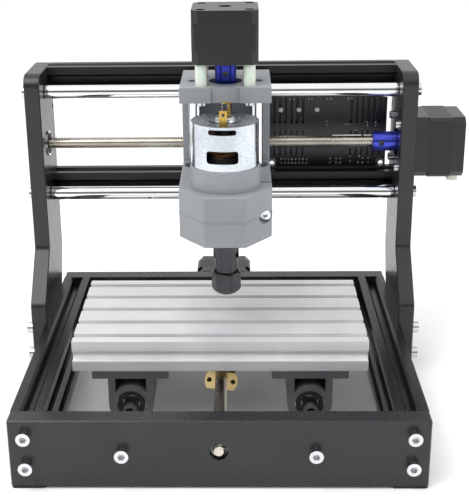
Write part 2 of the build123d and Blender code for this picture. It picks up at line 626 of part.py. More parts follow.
def motor_bells(face, centre):
    """Front and rear end bells, with bearing pockets and tapped holes."""
    rear = face.offset(-MOTOR_LENGTH + BELL)
    front_inside = face.offset(-BELL)
    with BuildPart() as bells:
        motor_blank(face, centre, BELL_CHAMFER, BELL)
        rods(face, [centre], PILOT, PILOT_HEIGHT)
        motor_blank(rear, centre, BELL_CHAMFER, BELL)
        bore = MOTOR_BEARING["outer"] + SEAT
        pocket_depth = MOTOR_BEARING["length"] + MOTOR_BEARING_PLAY
        drilled(front_inside, [centre], bore, -pocket_depth)
        drilled(rear, [centre], bore, pocket_depth)
        drilled(face.offset(PILOT_HEIGHT), [centre], MOTOR_SHAFT + SLACK, BELL + PILOT_HEIGHT)
        drilled(rear, [centre], MOTOR_END_HOLE, BELL)
        corners = square(centre, MOTOR_SCREW_PITCH)
        drilled(face, corners, M3["shank"] + THREAD, BELL - SCREW_TIP_GAP)
        drilled(front_inside, corners, M3["shank"] + THREAD, -MOTOR_BOLT_GRIP)
        drilled(rear, corners, M3["shank"] + SLACK, BELL)
        rear_face = face.offset(-MOTOR_LENGTH)
        drilled(rear_face, corners, M3["head"] + SLACK, -MOTOR_BOLT_SINK)
    return bells.part


def motor_bolts(face, centre):
    """Four through bolts, sunk in the rear bell and tapped into the front bell."""
    seat = far_side(face, MOTOR_LENGTH - MOTOR_BOLT_SINK)
    spots = square((-centre[0], centre[1]), MOTOR_SCREW_PITCH)
    shank_length = MOTOR_LENGTH - MOTOR_BOLT_SINK - BELL + MOTOR_BOLT_GRIP
    return cap_screws(seat, spots, M3, shank_length)


def motor_stack(face, centre):
    """Laminated steel stack between the bells, bored for the rotor."""
    with BuildPart() as stack:
        motor_blank(face.offset(-BELL), centre, STACK_CHAMFER, MOTOR_LENGTH - 2 * BELL)
        length = MOTOR_LENGTH - 2 * BELL
        drilled(face.offset(-BELL), [centre], ROTOR + ROTOR_GAP, length)
        corners = square(centre, MOTOR_SCREW_PITCH)
        drilled(face.offset(-BELL), corners, M3["shank"] + SLACK, length)
    return stack.part


def motor_bearings(face, centre):
    """The two ball bearings of a motor."""
    length = MOTOR_BEARING["length"]
    with BuildPart() as bearings:
        inner = MOTOR_SHAFT + RUNNING
        ring(face.offset(-BELL), [centre], MOTOR_BEARING["outer"], inner, length)
        ring(face.offset(-MOTOR_LENGTH + BELL), [centre], MOTOR_BEARING["outer"], inner, -length)
    return bearings.part


def motor_rotor(face, centre, setback):
    """Magnet rotor on its shaft, which reaches half way into the coupler."""
    with BuildPart() as rotor:
        reach = setback + COUPLER_LENGTH / 2 - COUPLER_GAP
        shaft_length = MOTOR_LENGTH - BELL + MOTOR_BEARING["length"] + reach
        rods(face.offset(reach - shaft_length), [centre], MOTOR_SHAFT, shaft_length)
        rotor_start = face.offset(-MOTOR_LENGTH + BELL + ROTOR_END_GAP)
        rods(rotor_start, [centre], ROTOR, MOTOR_LENGTH - 2 * (BELL + ROTOR_END_GAP))
    return rotor.part


def motor_socket(side, centre, size):
    """Lead socket that stands out of the side of the rear bell, open outwards."""
    with BuildPart() as socket:
        box_on(side, centre, size, SOCKET["depth"])
        opening = (size[0] - 2 * SOCKET["wall"], size[1] - 2 * SOCKET["wall"])
        mouth = side.offset(SOCKET["depth"])
        box_on(mouth, centre, opening, SOCKET["floor"] - SOCKET["depth"], mode=Mode.SUBTRACT)
    return socket.part


def coupler(end, spot):
    """Rigid coupler that goes behind the plane: screw in one half, shaft in the other."""
    half_length = COUPLER_LENGTH / 2
    with BuildPart() as body:
        rods(end.offset(-COUPLER_LENGTH), [spot], COUPLER, COUPLER_LENGTH)
        chamfer(body.edges().filter_by(GeomType.CIRCLE), FINE_EDGE)
        drilled(end, [spot], MOTOR_SHAFT + SEAT, COUPLER_LENGTH)
        drilled(end.offset(-half_length), [spot], SCREW + SEAT, half_length)
    return body.part


def set_screw_holes(across, along_spots):
    """Tapped holes from a coupler's side to its bore."""
    with BuildSketch(across) as holes:
        with Locations(*along_spots):
            Circle(COUPLER_SET_SCREW)
    extrude(holes.sketch, amount=COUPLER + 1, mode=Mode.SUBTRACT)


X_FACE = seen_from_left(UPRIGHT_OUTER)
Y_FACE = seen_from_front(BASE_DEPTH)
Z_FACE = seen_from_below(Z_MOTOR_FACE)
X_MOTOR_AT = (-X_ROD_Y, X_SCREW_Z)
Y_MOTOR_AT = (0, Y_SCREW_Z)
Z_MOTOR_AT = (CARRIAGE_X, -Z_AXIS_Y)

with BuildPart() as frame_motor_bells:
    add(motor_bells(X_FACE, X_MOTOR_AT))
    add(motor_bells(Y_FACE, Y_MOTOR_AT))
finish_part(frame_motor_bells.part, "xy_motor_bells")

with BuildPart() as frame_motor_stacks:
    add(motor_stack(X_FACE, X_MOTOR_AT))
    add(motor_stack(Y_FACE, Y_MOTOR_AT))
finish_part(frame_motor_stacks.part, "xy_motor_stacks")

with BuildPart() as ball_bearings:
    add(end_bearings.part)
    add(motor_bearings(X_FACE, X_MOTOR_AT))
    add(motor_bearings(Y_FACE, Y_MOTOR_AT))
finish_part(ball_bearings.part, "ball_bearings")

SOCKET_ALONG = MOTOR_LENGTH - BELL / 2
SOCKET_WIDE = (SOCKET["width"], SOCKET["height"])
SOCKET_TALL = (SOCKET["height"], SOCKET["width"])

with BuildPart() as frame_motor_sockets:
    x_socket_at = (UPRIGHT_OUTER + SOCKET_ALONG, -X_ROD_Y)
    add(motor_socket(seen_from_below(X_SCREW_Z - MOTOR / 2), x_socket_at, SOCKET_TALL))
    y_socket_at = (-BASE_DEPTH - SOCKET_ALONG, Y_SCREW_Z)
    add(motor_socket(seen_from_left(-MOTOR / 2), y_socket_at, SOCKET_TALL))
finish_part(frame_motor_sockets.part, "xy_motor_sockets")

with BuildPart() as frame_motor_screws:
    inner_spots = square((-X_ROD_Y, X_SCREW_Z), MOTOR_SCREW_PITCH)
    in_bell = BELL - MOTOR_SCREW_SPARE
    add(cap_screws(seen_from_left(HALF), inner_spots, M3, UPRIGHT_THICK + in_bell))
    add(cap_screws(seen_from_front(BEAM_BACK), y_motor_spots, M3, PLATE_THICK + in_bell))
    add(motor_bolts(X_FACE, X_MOTOR_AT))
    add(motor_bolts(Y_FACE, Y_MOTOR_AT))
finish_part(frame_motor_screws.part, "xy_motor_screws")

# ---- Turning parts of the three drives -----------------------------------------------
X_SCREW_AT = (X_ROD_Y, X_SCREW_Z)
Z_SCREW_AT = (CARRIAGE_X, Z_AXIS_Y)
X_COUPLER_MIDDLE = X_COUPLER_END - COUPLER_LENGTH / 2
Y_COUPLER_MIDDLE = Y_COUPLER_END - COUPLER_LENGTH / 2
Z_COUPLER_MIDDLE = Z_COUPLER_TOP - COUPLER_LENGTH / 2
SET_SCREW_OFFSETS = (COUPLER_EDGE - COUPLER_LENGTH / 2, COUPLER_LENGTH / 2 - COUPLER_EDGE)

with BuildPart() as x_lead_screw:
    screw_start = -HALF - END_BEARING["length"]
    rods(seen_from_right(screw_start), [X_SCREW_AT], SCREW, X_COUPLER_MIDDLE - screw_start)
    chamfer(x_lead_screw.edges().filter_by(GeomType.CIRCLE), EDGE)
finish_part(x_lead_screw.part, "x_lead_screw")

with BuildPart() as y_lead_screw:
    rods(seen_from_front(Y_COUPLER_MIDDLE), [(0, Y_SCREW_Z)], SCREW, Y_COUPLER_MIDDLE - EDGE)
    chamfer(y_lead_screw.edges().filter_by(GeomType.CIRCLE), EDGE)
finish_part(y_lead_screw.part, "y_lead_screw")

with BuildPart() as z_lead_screw:
    z_screw_start = LOWER_SHELF[0] + 1
    rods(seen_from_top(z_screw_start), [Z_SCREW_AT], SCREW, Z_COUPLER_MIDDLE - z_screw_start)
    chamfer(z_lead_screw.edges().filter_by(GeomType.CIRCLE), EDGE)
finish_part(z_lead_screw.part, "z_lead_screw")

with BuildPart() as x_coupler:
    add(coupler(seen_from_right(X_COUPLER_END), X_SCREW_AT))
    spots = [(X_COUPLER_MIDDLE + d, X_SCREW_Z) for d in SET_SCREW_OFFSETS]
    set_screw_holes(seen_from_front(X_ROD_Y), spots)
finish_part(x_coupler.part, "x_coupler")

with BuildPart() as y_coupler:
    add(coupler(seen_from_back(Y_COUPLER_END), (0, Y_SCREW_Z)))
    spots = [(0, Y_COUPLER_MIDDLE + d) for d in SET_SCREW_OFFSETS]
    set_screw_holes(seen_from_top(Y_SCREW_Z), spots)
finish_part(y_coupler.part, "y_coupler")

with BuildPart() as z_coupler:
    add(coupler(seen_from_top(Z_COUPLER_TOP), Z_SCREW_AT))
    spots = [(CARRIAGE_X, Z_COUPLER_MIDDLE + d) for d in SET_SCREW_OFFSETS]
    set_screw_holes(seen_from_front(Z_AXIS_Y), spots)
finish_part(z_coupler.part, "z_coupler")

for letter, face, centre, setback in (
    ("x", X_FACE, X_MOTOR_AT, PLATE_SETBACK),
    ("y", Y_FACE, Y_MOTOR_AT, PLATE_SETBACK),
    ("z", Z_FACE, Z_MOTOR_AT, OPEN_SETBACK),
):
    finish_part(motor_rotor(face, centre, setback), f"{letter}_motor_rotor")

# ---- X carriage ----------------------------------------------------------------------
with BuildPart() as carriage_frame:
    with BuildSketch(seen_from_right(CARRIAGE_LEFT)):
        spine_height = SPINE_TOP - (X_ROD_LOWER_Z - HOUSING)
        with Locations(((SPINE_FRONT + SPINE_BACK) / 2, SPINE_TOP - spine_height / 2)):
            Rectangle(SPINE_BACK - SPINE_FRONT, spine_height)
        housing_depth = CARRIAGE_BACK - SPINE_FRONT
        for z, half_height in (
            (X_ROD_UPPER_Z, HOUSING),
            (X_ROD_LOWER_Z, HOUSING),
            (X_SCREW_Z, NUT_HOUSING),
        ):
            with Locations((CARRIAGE_BACK - housing_depth / 2, z)):
                Rectangle(housing_depth, 2 * half_height)
    extrude(amount=CARRIAGE_WIDTH)
    back_edges = carriage_frame.edges().filter_by(Axis.X).group_by(Axis.Y)[-1]
    fillet(back_edges, HOUSING_CORNER)
    for bottom, top, front, back in (
        (FLANGE_BOTTOM, FLANGE_TOP, FLANGE_FRONT, FLANGE_BACK),
        (LOWER_SHELF[0], LOWER_SHELF[1], LOWER_SHELF_FRONT, FLANGE_BACK),
    ):
        centre = (CARRIAGE_X, (front + back) / 2)
        box_on(seen_from_top(bottom), centre, (CARRIAGE_WIDTH, back - front), top - bottom)
    wall_depth = SPINE_BACK - WALL_FRONT
    wall_height = FLANGE_BOTTOM - LOWER_SHELF[0]
    for wall_x in (CARRIAGE_LEFT, CARRIAGE_RIGHT - SIDE_WALL):
        wall_at = (WALL_FRONT + wall_depth / 2, LOWER_SHELF[0] + wall_height / 2)
        box_on(seen_from_right(wall_x), wall_at, (wall_depth, wall_height), SIDE_WALL)
    recess_at = (CARRIAGE_X, (FLANGE_TOP + FLANGE_BOTTOM) / 2)
    recess_size = (FLANGE_RECESS[0], FLANGE_TOP - FLANGE_BOTTOM)
    recess_plane = seen_from_front(FLANGE_FRONT)
    box_on(recess_plane, recess_at, recess_size, -FLANGE_RECESS[1], mode=Mode.SUBTRACT)
    drilled(seen_from_right(CARRIAGE_RIGHT), X_ROD_SPOTS, ROD_BUSH + SEAT, CARRIAGE_WIDTH)
    drilled(seen_from_right(CARRIAGE_RIGHT), [X_SCREW_AT], NUT["body"] + SLACK, CARRIAGE_WIDTH)
    nut_recess = NUT["flange_thick"]
    drilled(seen_from_left(CARRIAGE_LEFT), [X_MOTOR_AT], NUT["flange"] + SLACK, nut_recess)
    rod_spots = [(x, Z_AXIS_Y) for x in Z_ROD_XS]
    drilled(seen_from_top(FLANGE_TOP), rod_spots, Z_ROD + SEAT, FLANGE_TOP - FLANGE_BOTTOM)
    shelf_hole = LOWER_SHELF[1] - LOWER_SHELF[0] - Z_ROD_FLOOR
    drilled(seen_from_top(LOWER_SHELF[1]), rod_spots, Z_ROD + SEAT, shelf_hole)
    drilled(seen_from_top(FLANGE_TOP), [Z_SCREW_AT], COUPLER_HOLE, FLANGE_TOP - FLANGE_BOTTOM)
    drilled(seen_from_top(LOWER_SHELF[1]), [Z_SCREW_AT], SCREW + SLACK, LOWER_SHELF[1])
    z_motor_spots = square(Z_SCREW_AT, MOTOR_SCREW_PITCH)
    drilled(seen_from_top(FLANGE_TOP), z_motor_spots, M3["shank"] + SLACK, FLANGE_TOP - FLANGE_BOTTOM)
finish_part(carriage_frame.part, "carriage_frame")

with BuildPart() as x_bushes:
    for bush_x in (CARRIAGE_LEFT + BUSH_RECESS, CARRIAGE_RIGHT - BUSH_RECESS - ROD_BUSH_LENGTH):
        ring(seen_from_right(bush_x), X_ROD_SPOTS, ROD_BUSH, ROD + RUNNING, ROD_BUSH_LENGTH)
finish_part(x_bushes.part, "x_linear_bearings")


def flanged_nut(flange_plane, spot, turn=0.0):
    """Flanged screw nut: flange goes behind the plane first, then the body."""
    with BuildPart() as nut:
        with BuildSketch(flange_plane):
            with Locations(Location((*spot, 0), turn)):
                Circle(NUT["flange"])
                Rectangle(2 * NUT["flange"], 2 * NUT["flats"], mode=Mode.INTERSECT)
                with Locations((-NUT_HOLE_CIRCLE, 0), (NUT_HOLE_CIRCLE, 0)):
                    Circle(NUT_HOLE, mode=Mode.SUBTRACT)
        extrude(amount=-NUT["flange_thick"])
        rods(flange_plane, [spot], NUT["body"], -NUT["length"])
        drilled(flange_plane, [spot], SCREW + RUNNING, NUT["length"])
    return nut.part


finish_part(flanged_nut(seen_from_left(CARRIAGE_LEFT), X_MOTOR_AT), "x_nut")

with BuildPart() as z_rods:
    z_rod_start = LOWER_SHELF[0] + Z_ROD_FLOOR
    rods(seen_from_top(z_rod_start), rod_spots, Z_ROD, FLANGE_TOP - Z_ROD_FLOOR - z_rod_start)
    chamfer(z_rods.edges().filter_by(GeomType.CIRCLE), EDGE)
finish_part(z_rods.part, "z_rods")

with BuildPart() as z_standoffs:
    ring(seen_from_top(FLANGE_TOP), z_motor_spots, STANDOFF, M3["shank"] + SLACK, STANDOFF_HEIGHT)
finish_part(z_standoffs.part, "z_standoffs")

with BuildPart() as z_motor_screws:
    z_screw_length = Z_MOTOR_FACE - FLANGE_BOTTOM + BELL - MOTOR_SCREW_SPARE
    below_spots = square(Z_MOTOR_AT, MOTOR_SCREW_PITCH)
    add(cap_screws(seen_from_below(FLANGE_BOTTOM), below_spots, M3, z_screw_length))
    add(motor_bolts(Z_FACE, Z_MOTOR_AT))
finish_part(z_motor_screws.part, "z_motor_screws")

finish_part(motor_bells(Z_FACE, Z_MOTOR_AT), "z_motor_bells")
finish_part(motor_stack(Z_FACE, Z_MOTOR_AT), "z_motor_stack")
finish_part(motor_bearings(Z_FACE, Z_MOTOR_AT), "z_motor_bearings")
z_side = seen_from_back(Z_AXIS_Y + MOTOR / 2)
z_socket = motor_socket(z_side, (-CARRIAGE_X, Z_MOTOR_FACE + SOCKET_ALONG), SOCKET_WIDE)
finish_part(z_socket, "z_motor_socket")

# ---- Z slide: spindle holder ---------------------------------------------------------
SPINDLE_AT = (CARRIAGE_X, SPINDLE_Y)
HOLDER_OUTLINE = [
    (CARRIAGE_X - HOLDER_FACET / 2, HOLDER_FRONT),
    (CARRIAGE_X + HOLDER_FACET / 2, HOLDER_FRONT),
    (CARRIAGE_X + HOLDER_WIDTH / 2, SHOULDER_Y),
    (CARRIAGE_X + HOLDER_WIDTH / 2, HOLDER_BACK),
    (CARRIAGE_X - HOLDER_WIDTH / 2, HOLDER_BACK),
    (CARRIAGE_X - HOLDER_WIDTH / 2, SHOULDER_Y),
]
CLAMP_AT = (CARRIAGE_X + CAN + CLAMP_SCREW_GAP, CLAMP_SCREW_Z)
MOUNT_SPOTS = [(CARRIAGE_X - CAN_MOUNT, -SPINDLE_Y), (CARRIAGE_X + CAN_MOUNT, -SPINDLE_Y)]


def holder_profile(growth=0.0):
    """Plan of the holder, grown all round."""
    with BuildSketch() as profile:
        with BuildLine():
            Polyline(*HOLDER_OUTLINE, close=True)
        make_face()
        fillet(profile.vertices(), HOLDER_CORNER)
        if growth:
            offset(amount=growth)
    return profile.sketch


with BuildPart() as spindle_holder:
    with BuildSketch(seen_from_top(HOLDER_BOTTOM)):
        add(holder_profile())
    extrude(amount=HOLDER_TOP - HOLDER_BOTTOM)
    chamfer(spindle_holder.faces().sort_by(Axis.Z)[-1].edges(), EDGE)
    chamfer(spindle_holder.faces().sort_by(Axis.Z)[0].edges(), EDGE)
    with BuildSketch(seen_from_top(HOLDER_MIDDLE - PARTING_RIDGE["height"] / 2)):
        add(holder_profile(PARTING_RIDGE["proud"]))
    extrude(amount=PARTING_RIDGE["height"])
    holder_top = seen_from_top(HOLDER_TOP)
    holder_height = HOLDER_TOP - HOLDER_BOTTOM
    drilled(holder_top, [SPINDLE_AT], HOLDER_BORE, HOLDER_TOP - CAN_BOTTOM)
    drilled(holder_top, [SPINDLE_AT], CAN_BOSS["radius"] + SLACK, holder_height)
    drilled(holder_top, rod_spots, Z_BUSH + SEAT, holder_height - Z_BUSH_FLOOR)
    drilled(holder_top, rod_spots, Z_ROD + SLACK, holder_height)
    drilled(holder_top, [Z_SCREW_AT], NUT["body"] + SLACK, holder_height)
    holder_base = seen_from_below(HOLDER_BOTTOM)
    drilled(holder_base, [Z_MOTOR_AT], NUT["flange"] + SLACK, NUT["flange_thick"])
    drilled(holder_base, MOUNT_SPOTS, M4["shank"] + SLACK, holder_height / 2)
    drilled(holder_base, MOUNT_SPOTS, M4["head"] + SLACK, M4["height"])
    slit_length = HOLDER_WIDTH / 2 - HOLDER_BORE / 2 + CLAMP_SLIT["overrun"]
    slit_x = CARRIAGE_X + HOLDER_BORE / 2 + slit_length / 2
    slit_at = (slit_x, SPINDLE_Y + CLAMP_SLIT["behind_axis"] + CLAMP_SLIT["width"] / 2)
    slit_size = (slit_length, CLAMP_SLIT["width"])
    box_on(holder_top, slit_at, slit_size, CAN_BOTTOM - HOLDER_TOP, mode=Mode.SUBTRACT)
    clamp_seat = seen_from_front(SPINDLE_Y - CLAMP_SEAT_AHEAD)
    clamp_hole = CLAMP_SCREW_LENGTH + CLAMP_HOLE_SPARE
    drilled(clamp_seat, [CLAMP_AT], M4["shank"] + SLACK, clamp_hole)
    drilled(clamp_seat, [CLAMP_AT], M4["head"] + CLAMP_HEAD_GAP, -HOLDER_WIDTH / 2)
finish_part(spindle_holder.part, "spindle_holder")

with BuildPart() as z_bushes:
    z_bush_bottom = seen_from_top(HOLDER_BOTTOM + Z_BUSH_FLOOR)
    ring(z_bush_bottom, rod_spots, Z_BUSH, Z_ROD + RUNNING, Z_BUSH_LENGTH)
finish_part(z_bushes.part, "z_linear_bearings")

finish_part(flanged_nut(seen_from_below(HOLDER_BOTTOM), Z_MOTOR_AT), "z_nut")

with BuildPart() as holder_screws:
    add(cap_screws(clamp_seat, [CLAMP_AT], M4, CLAMP_SCREW_LENGTH))
    mount_seat = seen_from_below(HOLDER_BOTTOM + M4["height"])
    mount_length = CAN_BOTTOM + CAN_WALL - HOLDER_BOTTOM - M4["height"]
    add(cap_screws(mount_seat, MOUNT_SPOTS, M4, mount_length))
finish_part(holder_screws.part, "holder_screws")

# ---- Z slide: spindle motor, fixed parts ---------------------------------------------
CAN_INSIDE = CAN - CAN_WALL
CAN_HEIGHT = CAN_TOP - CAN_BOTTOM
CAN_FRONT = turned_about_spindle(CAN_TURN)
CAP_BOTTOM = CAN_TOP - CAP_THICK
CAP_TOP = CAN_TOP + CAP_BOSS["height"]

with BuildPart() as spindle_can:
    can_bottom = seen_from_top(CAN_BOTTOM)
    rods(can_bottom, [SPINDLE_AT], CAN, CAN_HEIGHT)
    chamfer(spindle_can.edges().filter_by(GeomType.CIRCLE).sort_by(Axis.Z)[0], CAN_EDGE)
    drilled(seen_from_top(CAN_TOP), [SPINDLE_AT], CAN_INSIDE, CAN_HEIGHT - CAN_WALL)
    rods(can_bottom, [SPINDLE_AT], CAN_BOSS["radius"], -CAN_BOSS["height"])
    boss_bottom = seen_from_top(CAN_BOTTOM - CAN_BOSS["height"])
    drilled(boss_bottom, [SPINDLE_AT], SPINDLE_SHAFT + RUNNING, -CAN_HEIGHT)
    mount_holes = [(x, SPINDLE_Y) for x, _ in MOUNT_SPOTS]
    drilled(seen_from_top(CAN_TOP), mount_holes, M4["shank"] + THREAD, CAN_HEIGHT)
    for window in (WINDOW, UPPER_WINDOW):
        with BuildSketch(CAN_FRONT) as opening:
            with Locations((0, window["middle"])):
                RectangleRounded(window["width"], window["height"], window["corner"])
        extrude(opening.sketch, amount=2 * CAN, both=True, mode=Mode.SUBTRACT)
finish_part(spindle_can.part, "spindle_can")

with BuildPart() as spindle_sleeve:
    ring(holder_top, [SPINDLE_AT], CAN + SLEEVE_WALL, CAN + SEAT, SLEEVE_HEIGHT)
    chamfer(spindle_sleeve.faces().sort_by(Axis.Z)[-1].edges(), SLEEVE_EDGE)
finish_part(spindle_sleeve.part, "spindle_sleeve")


def terminal_pair(size, gap):
    """Two upright blades, before and behind the axis, that start inside the cap."""
    for side in (CAN_FRONT, far_side(CAN_FRONT, 0)):
        blade_back = side.offset(TERMINAL["radius"] - size["thick"] / 2 - gap)
        blade_at = (0, CAP_BOTTOM + size["height"] / 2)
        blade = (size["width"] + 2 * gap, size["height"])
        box_on(blade_back, blade_at, blade, size["thick"] + 2 * gap, mode=size["mode"])


VENT_STARTS = [
    360 / CAP_VENT["count"] * (turn + 0.5) - CAN_TURN - CAP_VENT["sweep"] / 2
    for turn in range(CAP_VENT["count"])
]
VENT_LINES = [
    CenterArc((0, 0), CAP_VENT["circle"], start, CAP_VENT["sweep"]) for start in VENT_STARTS
]

with BuildPart() as spindle_cap:
    rods(seen_from_top(CAP_BOTTOM), [SPINDLE_AT], CAN_INSIDE - SEAT, CAP_THICK)
    rods(seen_from_top(CAN_TOP), [SPINDLE_AT], CAP_BOSS["radius"], CAP_BOSS["height"])
    chamfer(spindle_cap.edges().filter_by(GeomType.CIRCLE).sort_by(Axis.Z)[-1], FINE_EDGE)
    drilled(seen_from_top(CAP_TOP), [SPINDLE_AT], SHAFT_TAIL["radius"] + SLACK, CAP_TOP - CAP_BOTTOM)
    with BuildSketch(seen_from_top(CAN_TOP)) as vents:
        with Locations(SPINDLE_AT):
            for line in VENT_LINES:
                SlotArc(line, CAP_VENT["width"])
    extrude(vents.sketch, amount=-CAP_THICK, mode=Mode.SUBTRACT)
    slot_size = {**TERMINAL, "height": CAP_THICK, "mode": Mode.SUBTRACT}
    terminal_pair(slot_size, TERMINAL_GAP)
finish_part(spindle_cap.part, "spindle_cap")

with BuildPart() as spindle_terminals:
    blade_size = {**TERMINAL, "height": CAP_THICK + TERMINAL["height"], "mode": Mode.ADD}
    terminal_pair(blade_size, 0)
    with BuildSketch(CAN_FRONT) as holes:
        with Locations((0, CAN_TOP + TERMINAL["height"] - TERMINAL["hole_drop"])):
            Circle(TERMINAL["hole"])
    extrude(holes.sketch, amount=CAN, both=True, mode=Mode.SUBTRACT)
finish_part(spindle_terminals.part, "spindle_terminals")

with BuildPart() as spindle_magnets:
    magnet_plane = seen_from_top(CAN_BOTTOM + MAGNET["start"])
    magnet_inner = CAN_INSIDE - MAGNET["wall"]
    ring(magnet_plane, [SPINDLE_AT], CAN_INSIDE - SEAT, magnet_inner, MAGNET["length"])
    gap_size = (MAGNET["gap"], 2 * CAN)
    box_on(magnet_plane, SPINDLE_AT, gap_size, MAGNET["length"], mode=Mode.SUBTRACT)
finish_part(spindle_magnets.part, "spindle_magnets")

# ---- Turning parts of the spindle ----------------------------------------------------
with BuildPart() as spindle_armature:
    armature_z = CAN_BOTTOM + ARMATURE["start"]
    shaft_start = COLLET_NUT["top"] + SHAFT_GRIP
    shaft_end = CAP_BOTTOM - SLACK
    rods(seen_from_top(shaft_start), [SPINDLE_AT], SPINDLE_SHAFT, shaft_end - shaft_start)
    tail_end = CAN_TOP + SHAFT_TAIL["rise"]
    rods(seen_from_top(shaft_end), [SPINDLE_AT], SHAFT_TAIL["radius"], tail_end - shaft_end)
    winding_start = seen_from_top(armature_z - WINDING["overhang"])
    winding_length = ARMATURE["length"] + WINDING["overhang"] + WINDING["upper_overhang"]
    rods(winding_start, [SPINDLE_AT], WINDING["radius"], winding_length)
    rods(seen_from_top(armature_z), [SPINDLE_AT], ARMATURE["radius"], ARMATURE["length"])
    commutator_start = seen_from_top(armature_z + COMMUTATOR["start"])
    rods(commutator_start, [SPINDLE_AT], COMMUTATOR["radius"], COMMUTATOR["length"])
    with BuildSketch(seen_from_top(armature_z)) as slots:
        with Locations(SPINDLE_AT):
            with PolarLocations(ARMATURE["radius"], ARMATURE["slots"]):
                Rectangle(2 * ARMATURE["slot_depth"], ARMATURE["slot_width"])
    extrude(slots.sketch, amount=ARMATURE["length"], mode=Mode.SUBTRACT)
finish_part(spindle_armature.part, "spindle_armature")

NOSE_TOP = COLLET_NUT["top"]
NOSE_BOTTOM = COLLET_NUT["bottom"] + COLLET_NUT_LIP
COLLET_TOP = seen_from_top(NOSE_BOTTOM + COLLET["length"] - COLLET["face"])


def collet_cone(gap, mode):
    """The collet's taper, from its mouth up to its throat, grown by a gap."""
    with BuildSketch(seen_from_top(NOSE_BOTTOM)) as mouth:
        with Locations(SPINDLE_AT):
            Circle(COLLET["mouth"] + gap)
    with BuildSketch(COLLET_TOP) as throat:
        with Locations(SPINDLE_AT):
            Circle(COLLET["throat"] + gap)
    loft([mouth.sketch, throat.sketch], mode=mode)


with BuildPart() as chuck_body:
    rods(seen_from_top(SHANK_STEP), [SPINDLE_AT], SHANK, SHANK_TOP - SHANK_STEP)
    lower_start = SHANK_NECK["top"]
    rods(seen_from_top(lower_start), [SPINDLE_AT], SHANK_LOWER, SHANK_STEP - lower_start)
    chamfer(chuck_body.edges().filter_by(GeomType.CIRCLE).group_by(Axis.Z)[-1], FINE_EDGE)
    rods(seen_from_top(NOSE_TOP), [SPINDLE_AT], SHANK_NECK["radius"], lower_start - NOSE_TOP)
    rods(seen_from_top(NOSE_BOTTOM), [SPINDLE_AT], NOSE, NOSE_TOP - NOSE_BOTTOM)
    shaft_socket = SHANK_TOP - NOSE_TOP - SHANK_SOCKET_FLOOR
    drilled(seen_from_top(SHANK_TOP), [SPINDLE_AT], SPINDLE_SHAFT + SEAT, shaft_socket)
    collet_cone(SEAT, Mode.SUBTRACT)
    set_screws = [(0, SHANK_TOP - depth) for depth in SHANK_SET_SCREWS]
    drilled(turned_about_spindle(-60), set_screws, COUPLER_SET_SCREW, -2 * SHANK)
finish_part(chuck_body.part, "chuck_body")

with BuildPart() as collet:
    collet_bottom = COLLET_NUT["bottom"] + COLLET["face"]
    rods(seen_from_top(collet_bottom), [SPINDLE_AT], COLLET["mouth"], NOSE_BOTTOM - collet_bottom)
    collet_cone(0, Mode.ADD)
    drilled(seen_from_below(collet_bottom), [(CARRIAGE_X, -SPINDLE_Y)], TOOL, COLLET["length"])
    with BuildSketch(seen_from_top(collet_bottom)) as slits:
        with Locations(SPINDLE_AT):
            Rectangle(3 * COLLET["mouth"], COLLET["slit"])
            Rectangle(COLLET["slit"], 3 * COLLET["mouth"])
    slit_height = COLLET["length"] - COLLET["solid_end"]
    extrude(slits.sketch, amount=slit_height, mode=Mode.SUBTRACT)
finish_part(collet.part, "collet")

with BuildPart() as collet_nut:
    nut_bottom = seen_from_top(COLLET_NUT["bottom"])
    nut_height = COLLET_NUT["top"] - COLLET_NUT["bottom"]
    rods(nut_bottom, [SPINDLE_AT], COLLET_NUT["outer"], nut_height)
    chamfer(collet_nut.edges().group_by(Axis.Z)[0], COLLET_NUT_EDGES["bottom"])
    chamfer(collet_nut.edges().group_by(Axis.Z)[-1], COLLET_NUT_EDGES["top"])
    with BuildSketch(nut_bottom) as flats:
        with Locations(Location((*SPINDLE_AT, 0), COLLET_NUT["turn"])):
            RegularPolygon(COLLET_NUT["flats"] / 2, 6, major_radius=False)
    extrude(flats.sketch, amount=nut_height, mode=Mode.INTERSECT)
    nut_top = seen_from_top(COLLET_NUT["top"])
    drilled(nut_top, [SPINDLE_AT], NOSE + THREAD, nut_height - COLLET_NUT_LIP)
    drilled(nut_top, [SPINDLE_AT], COLLET["mouth"] + SEAT, nut_height)
finish_part(collet_nut.part, "collet_nut")

# ---- Bed -----------------------------------------------------------------------------
BED_BACK = BED_FRONT + BED_DEPTH
GROOVE_Z = (BED_BOTTOM + BED_TOP) / 2

with BuildPart() as bed_plate:
    with BuildSketch(seen_from_right(-BED_WIDTH / 2)):
        with Locations((BED_MIDDLE, GROOVE_Z)):
            Rectangle(BED_DEPTH, BED_THICK)
        for slot_y in BED_SLOT_YS:
            for surface, side in ((BED_TOP, -1), (BED_BOTTOM, 1)):
                with Locations((slot_y, surface + side * TEE["depth"] / 2)):
                    Rectangle(TEE["mouth"], TEE["depth"], mode=Mode.SUBTRACT)
                cavity = TEE["depth"] - TEE["lip"]
                with Locations((slot_y, surface + side * (TEE["lip"] + cavity / 2))):
                    Rectangle(TEE["cavity"], cavity, mode=Mode.SUBTRACT)
        for edge_y, inward in ((BED_FRONT, 1), (BED_BACK, -1)):
            with Locations((edge_y + inward * SIDE_GROOVE[1] / 2, GROOVE_Z)):
                Rectangle(SIDE_GROOVE[1], SIDE_GROOVE[0], mode=Mode.SUBTRACT)
            upper_lip = BED_TOP - GROOVE_Z
            with Locations((edge_y + inward * LIP_STEP / 2, GROOVE_Z + upper_lip / 2)):
                Rectangle(LIP_STEP, upper_lip, mode=Mode.SUBTRACT)
    extrude(amount=BED_WIDTH)
finish_part(bed_plate.part, "bed_plate")

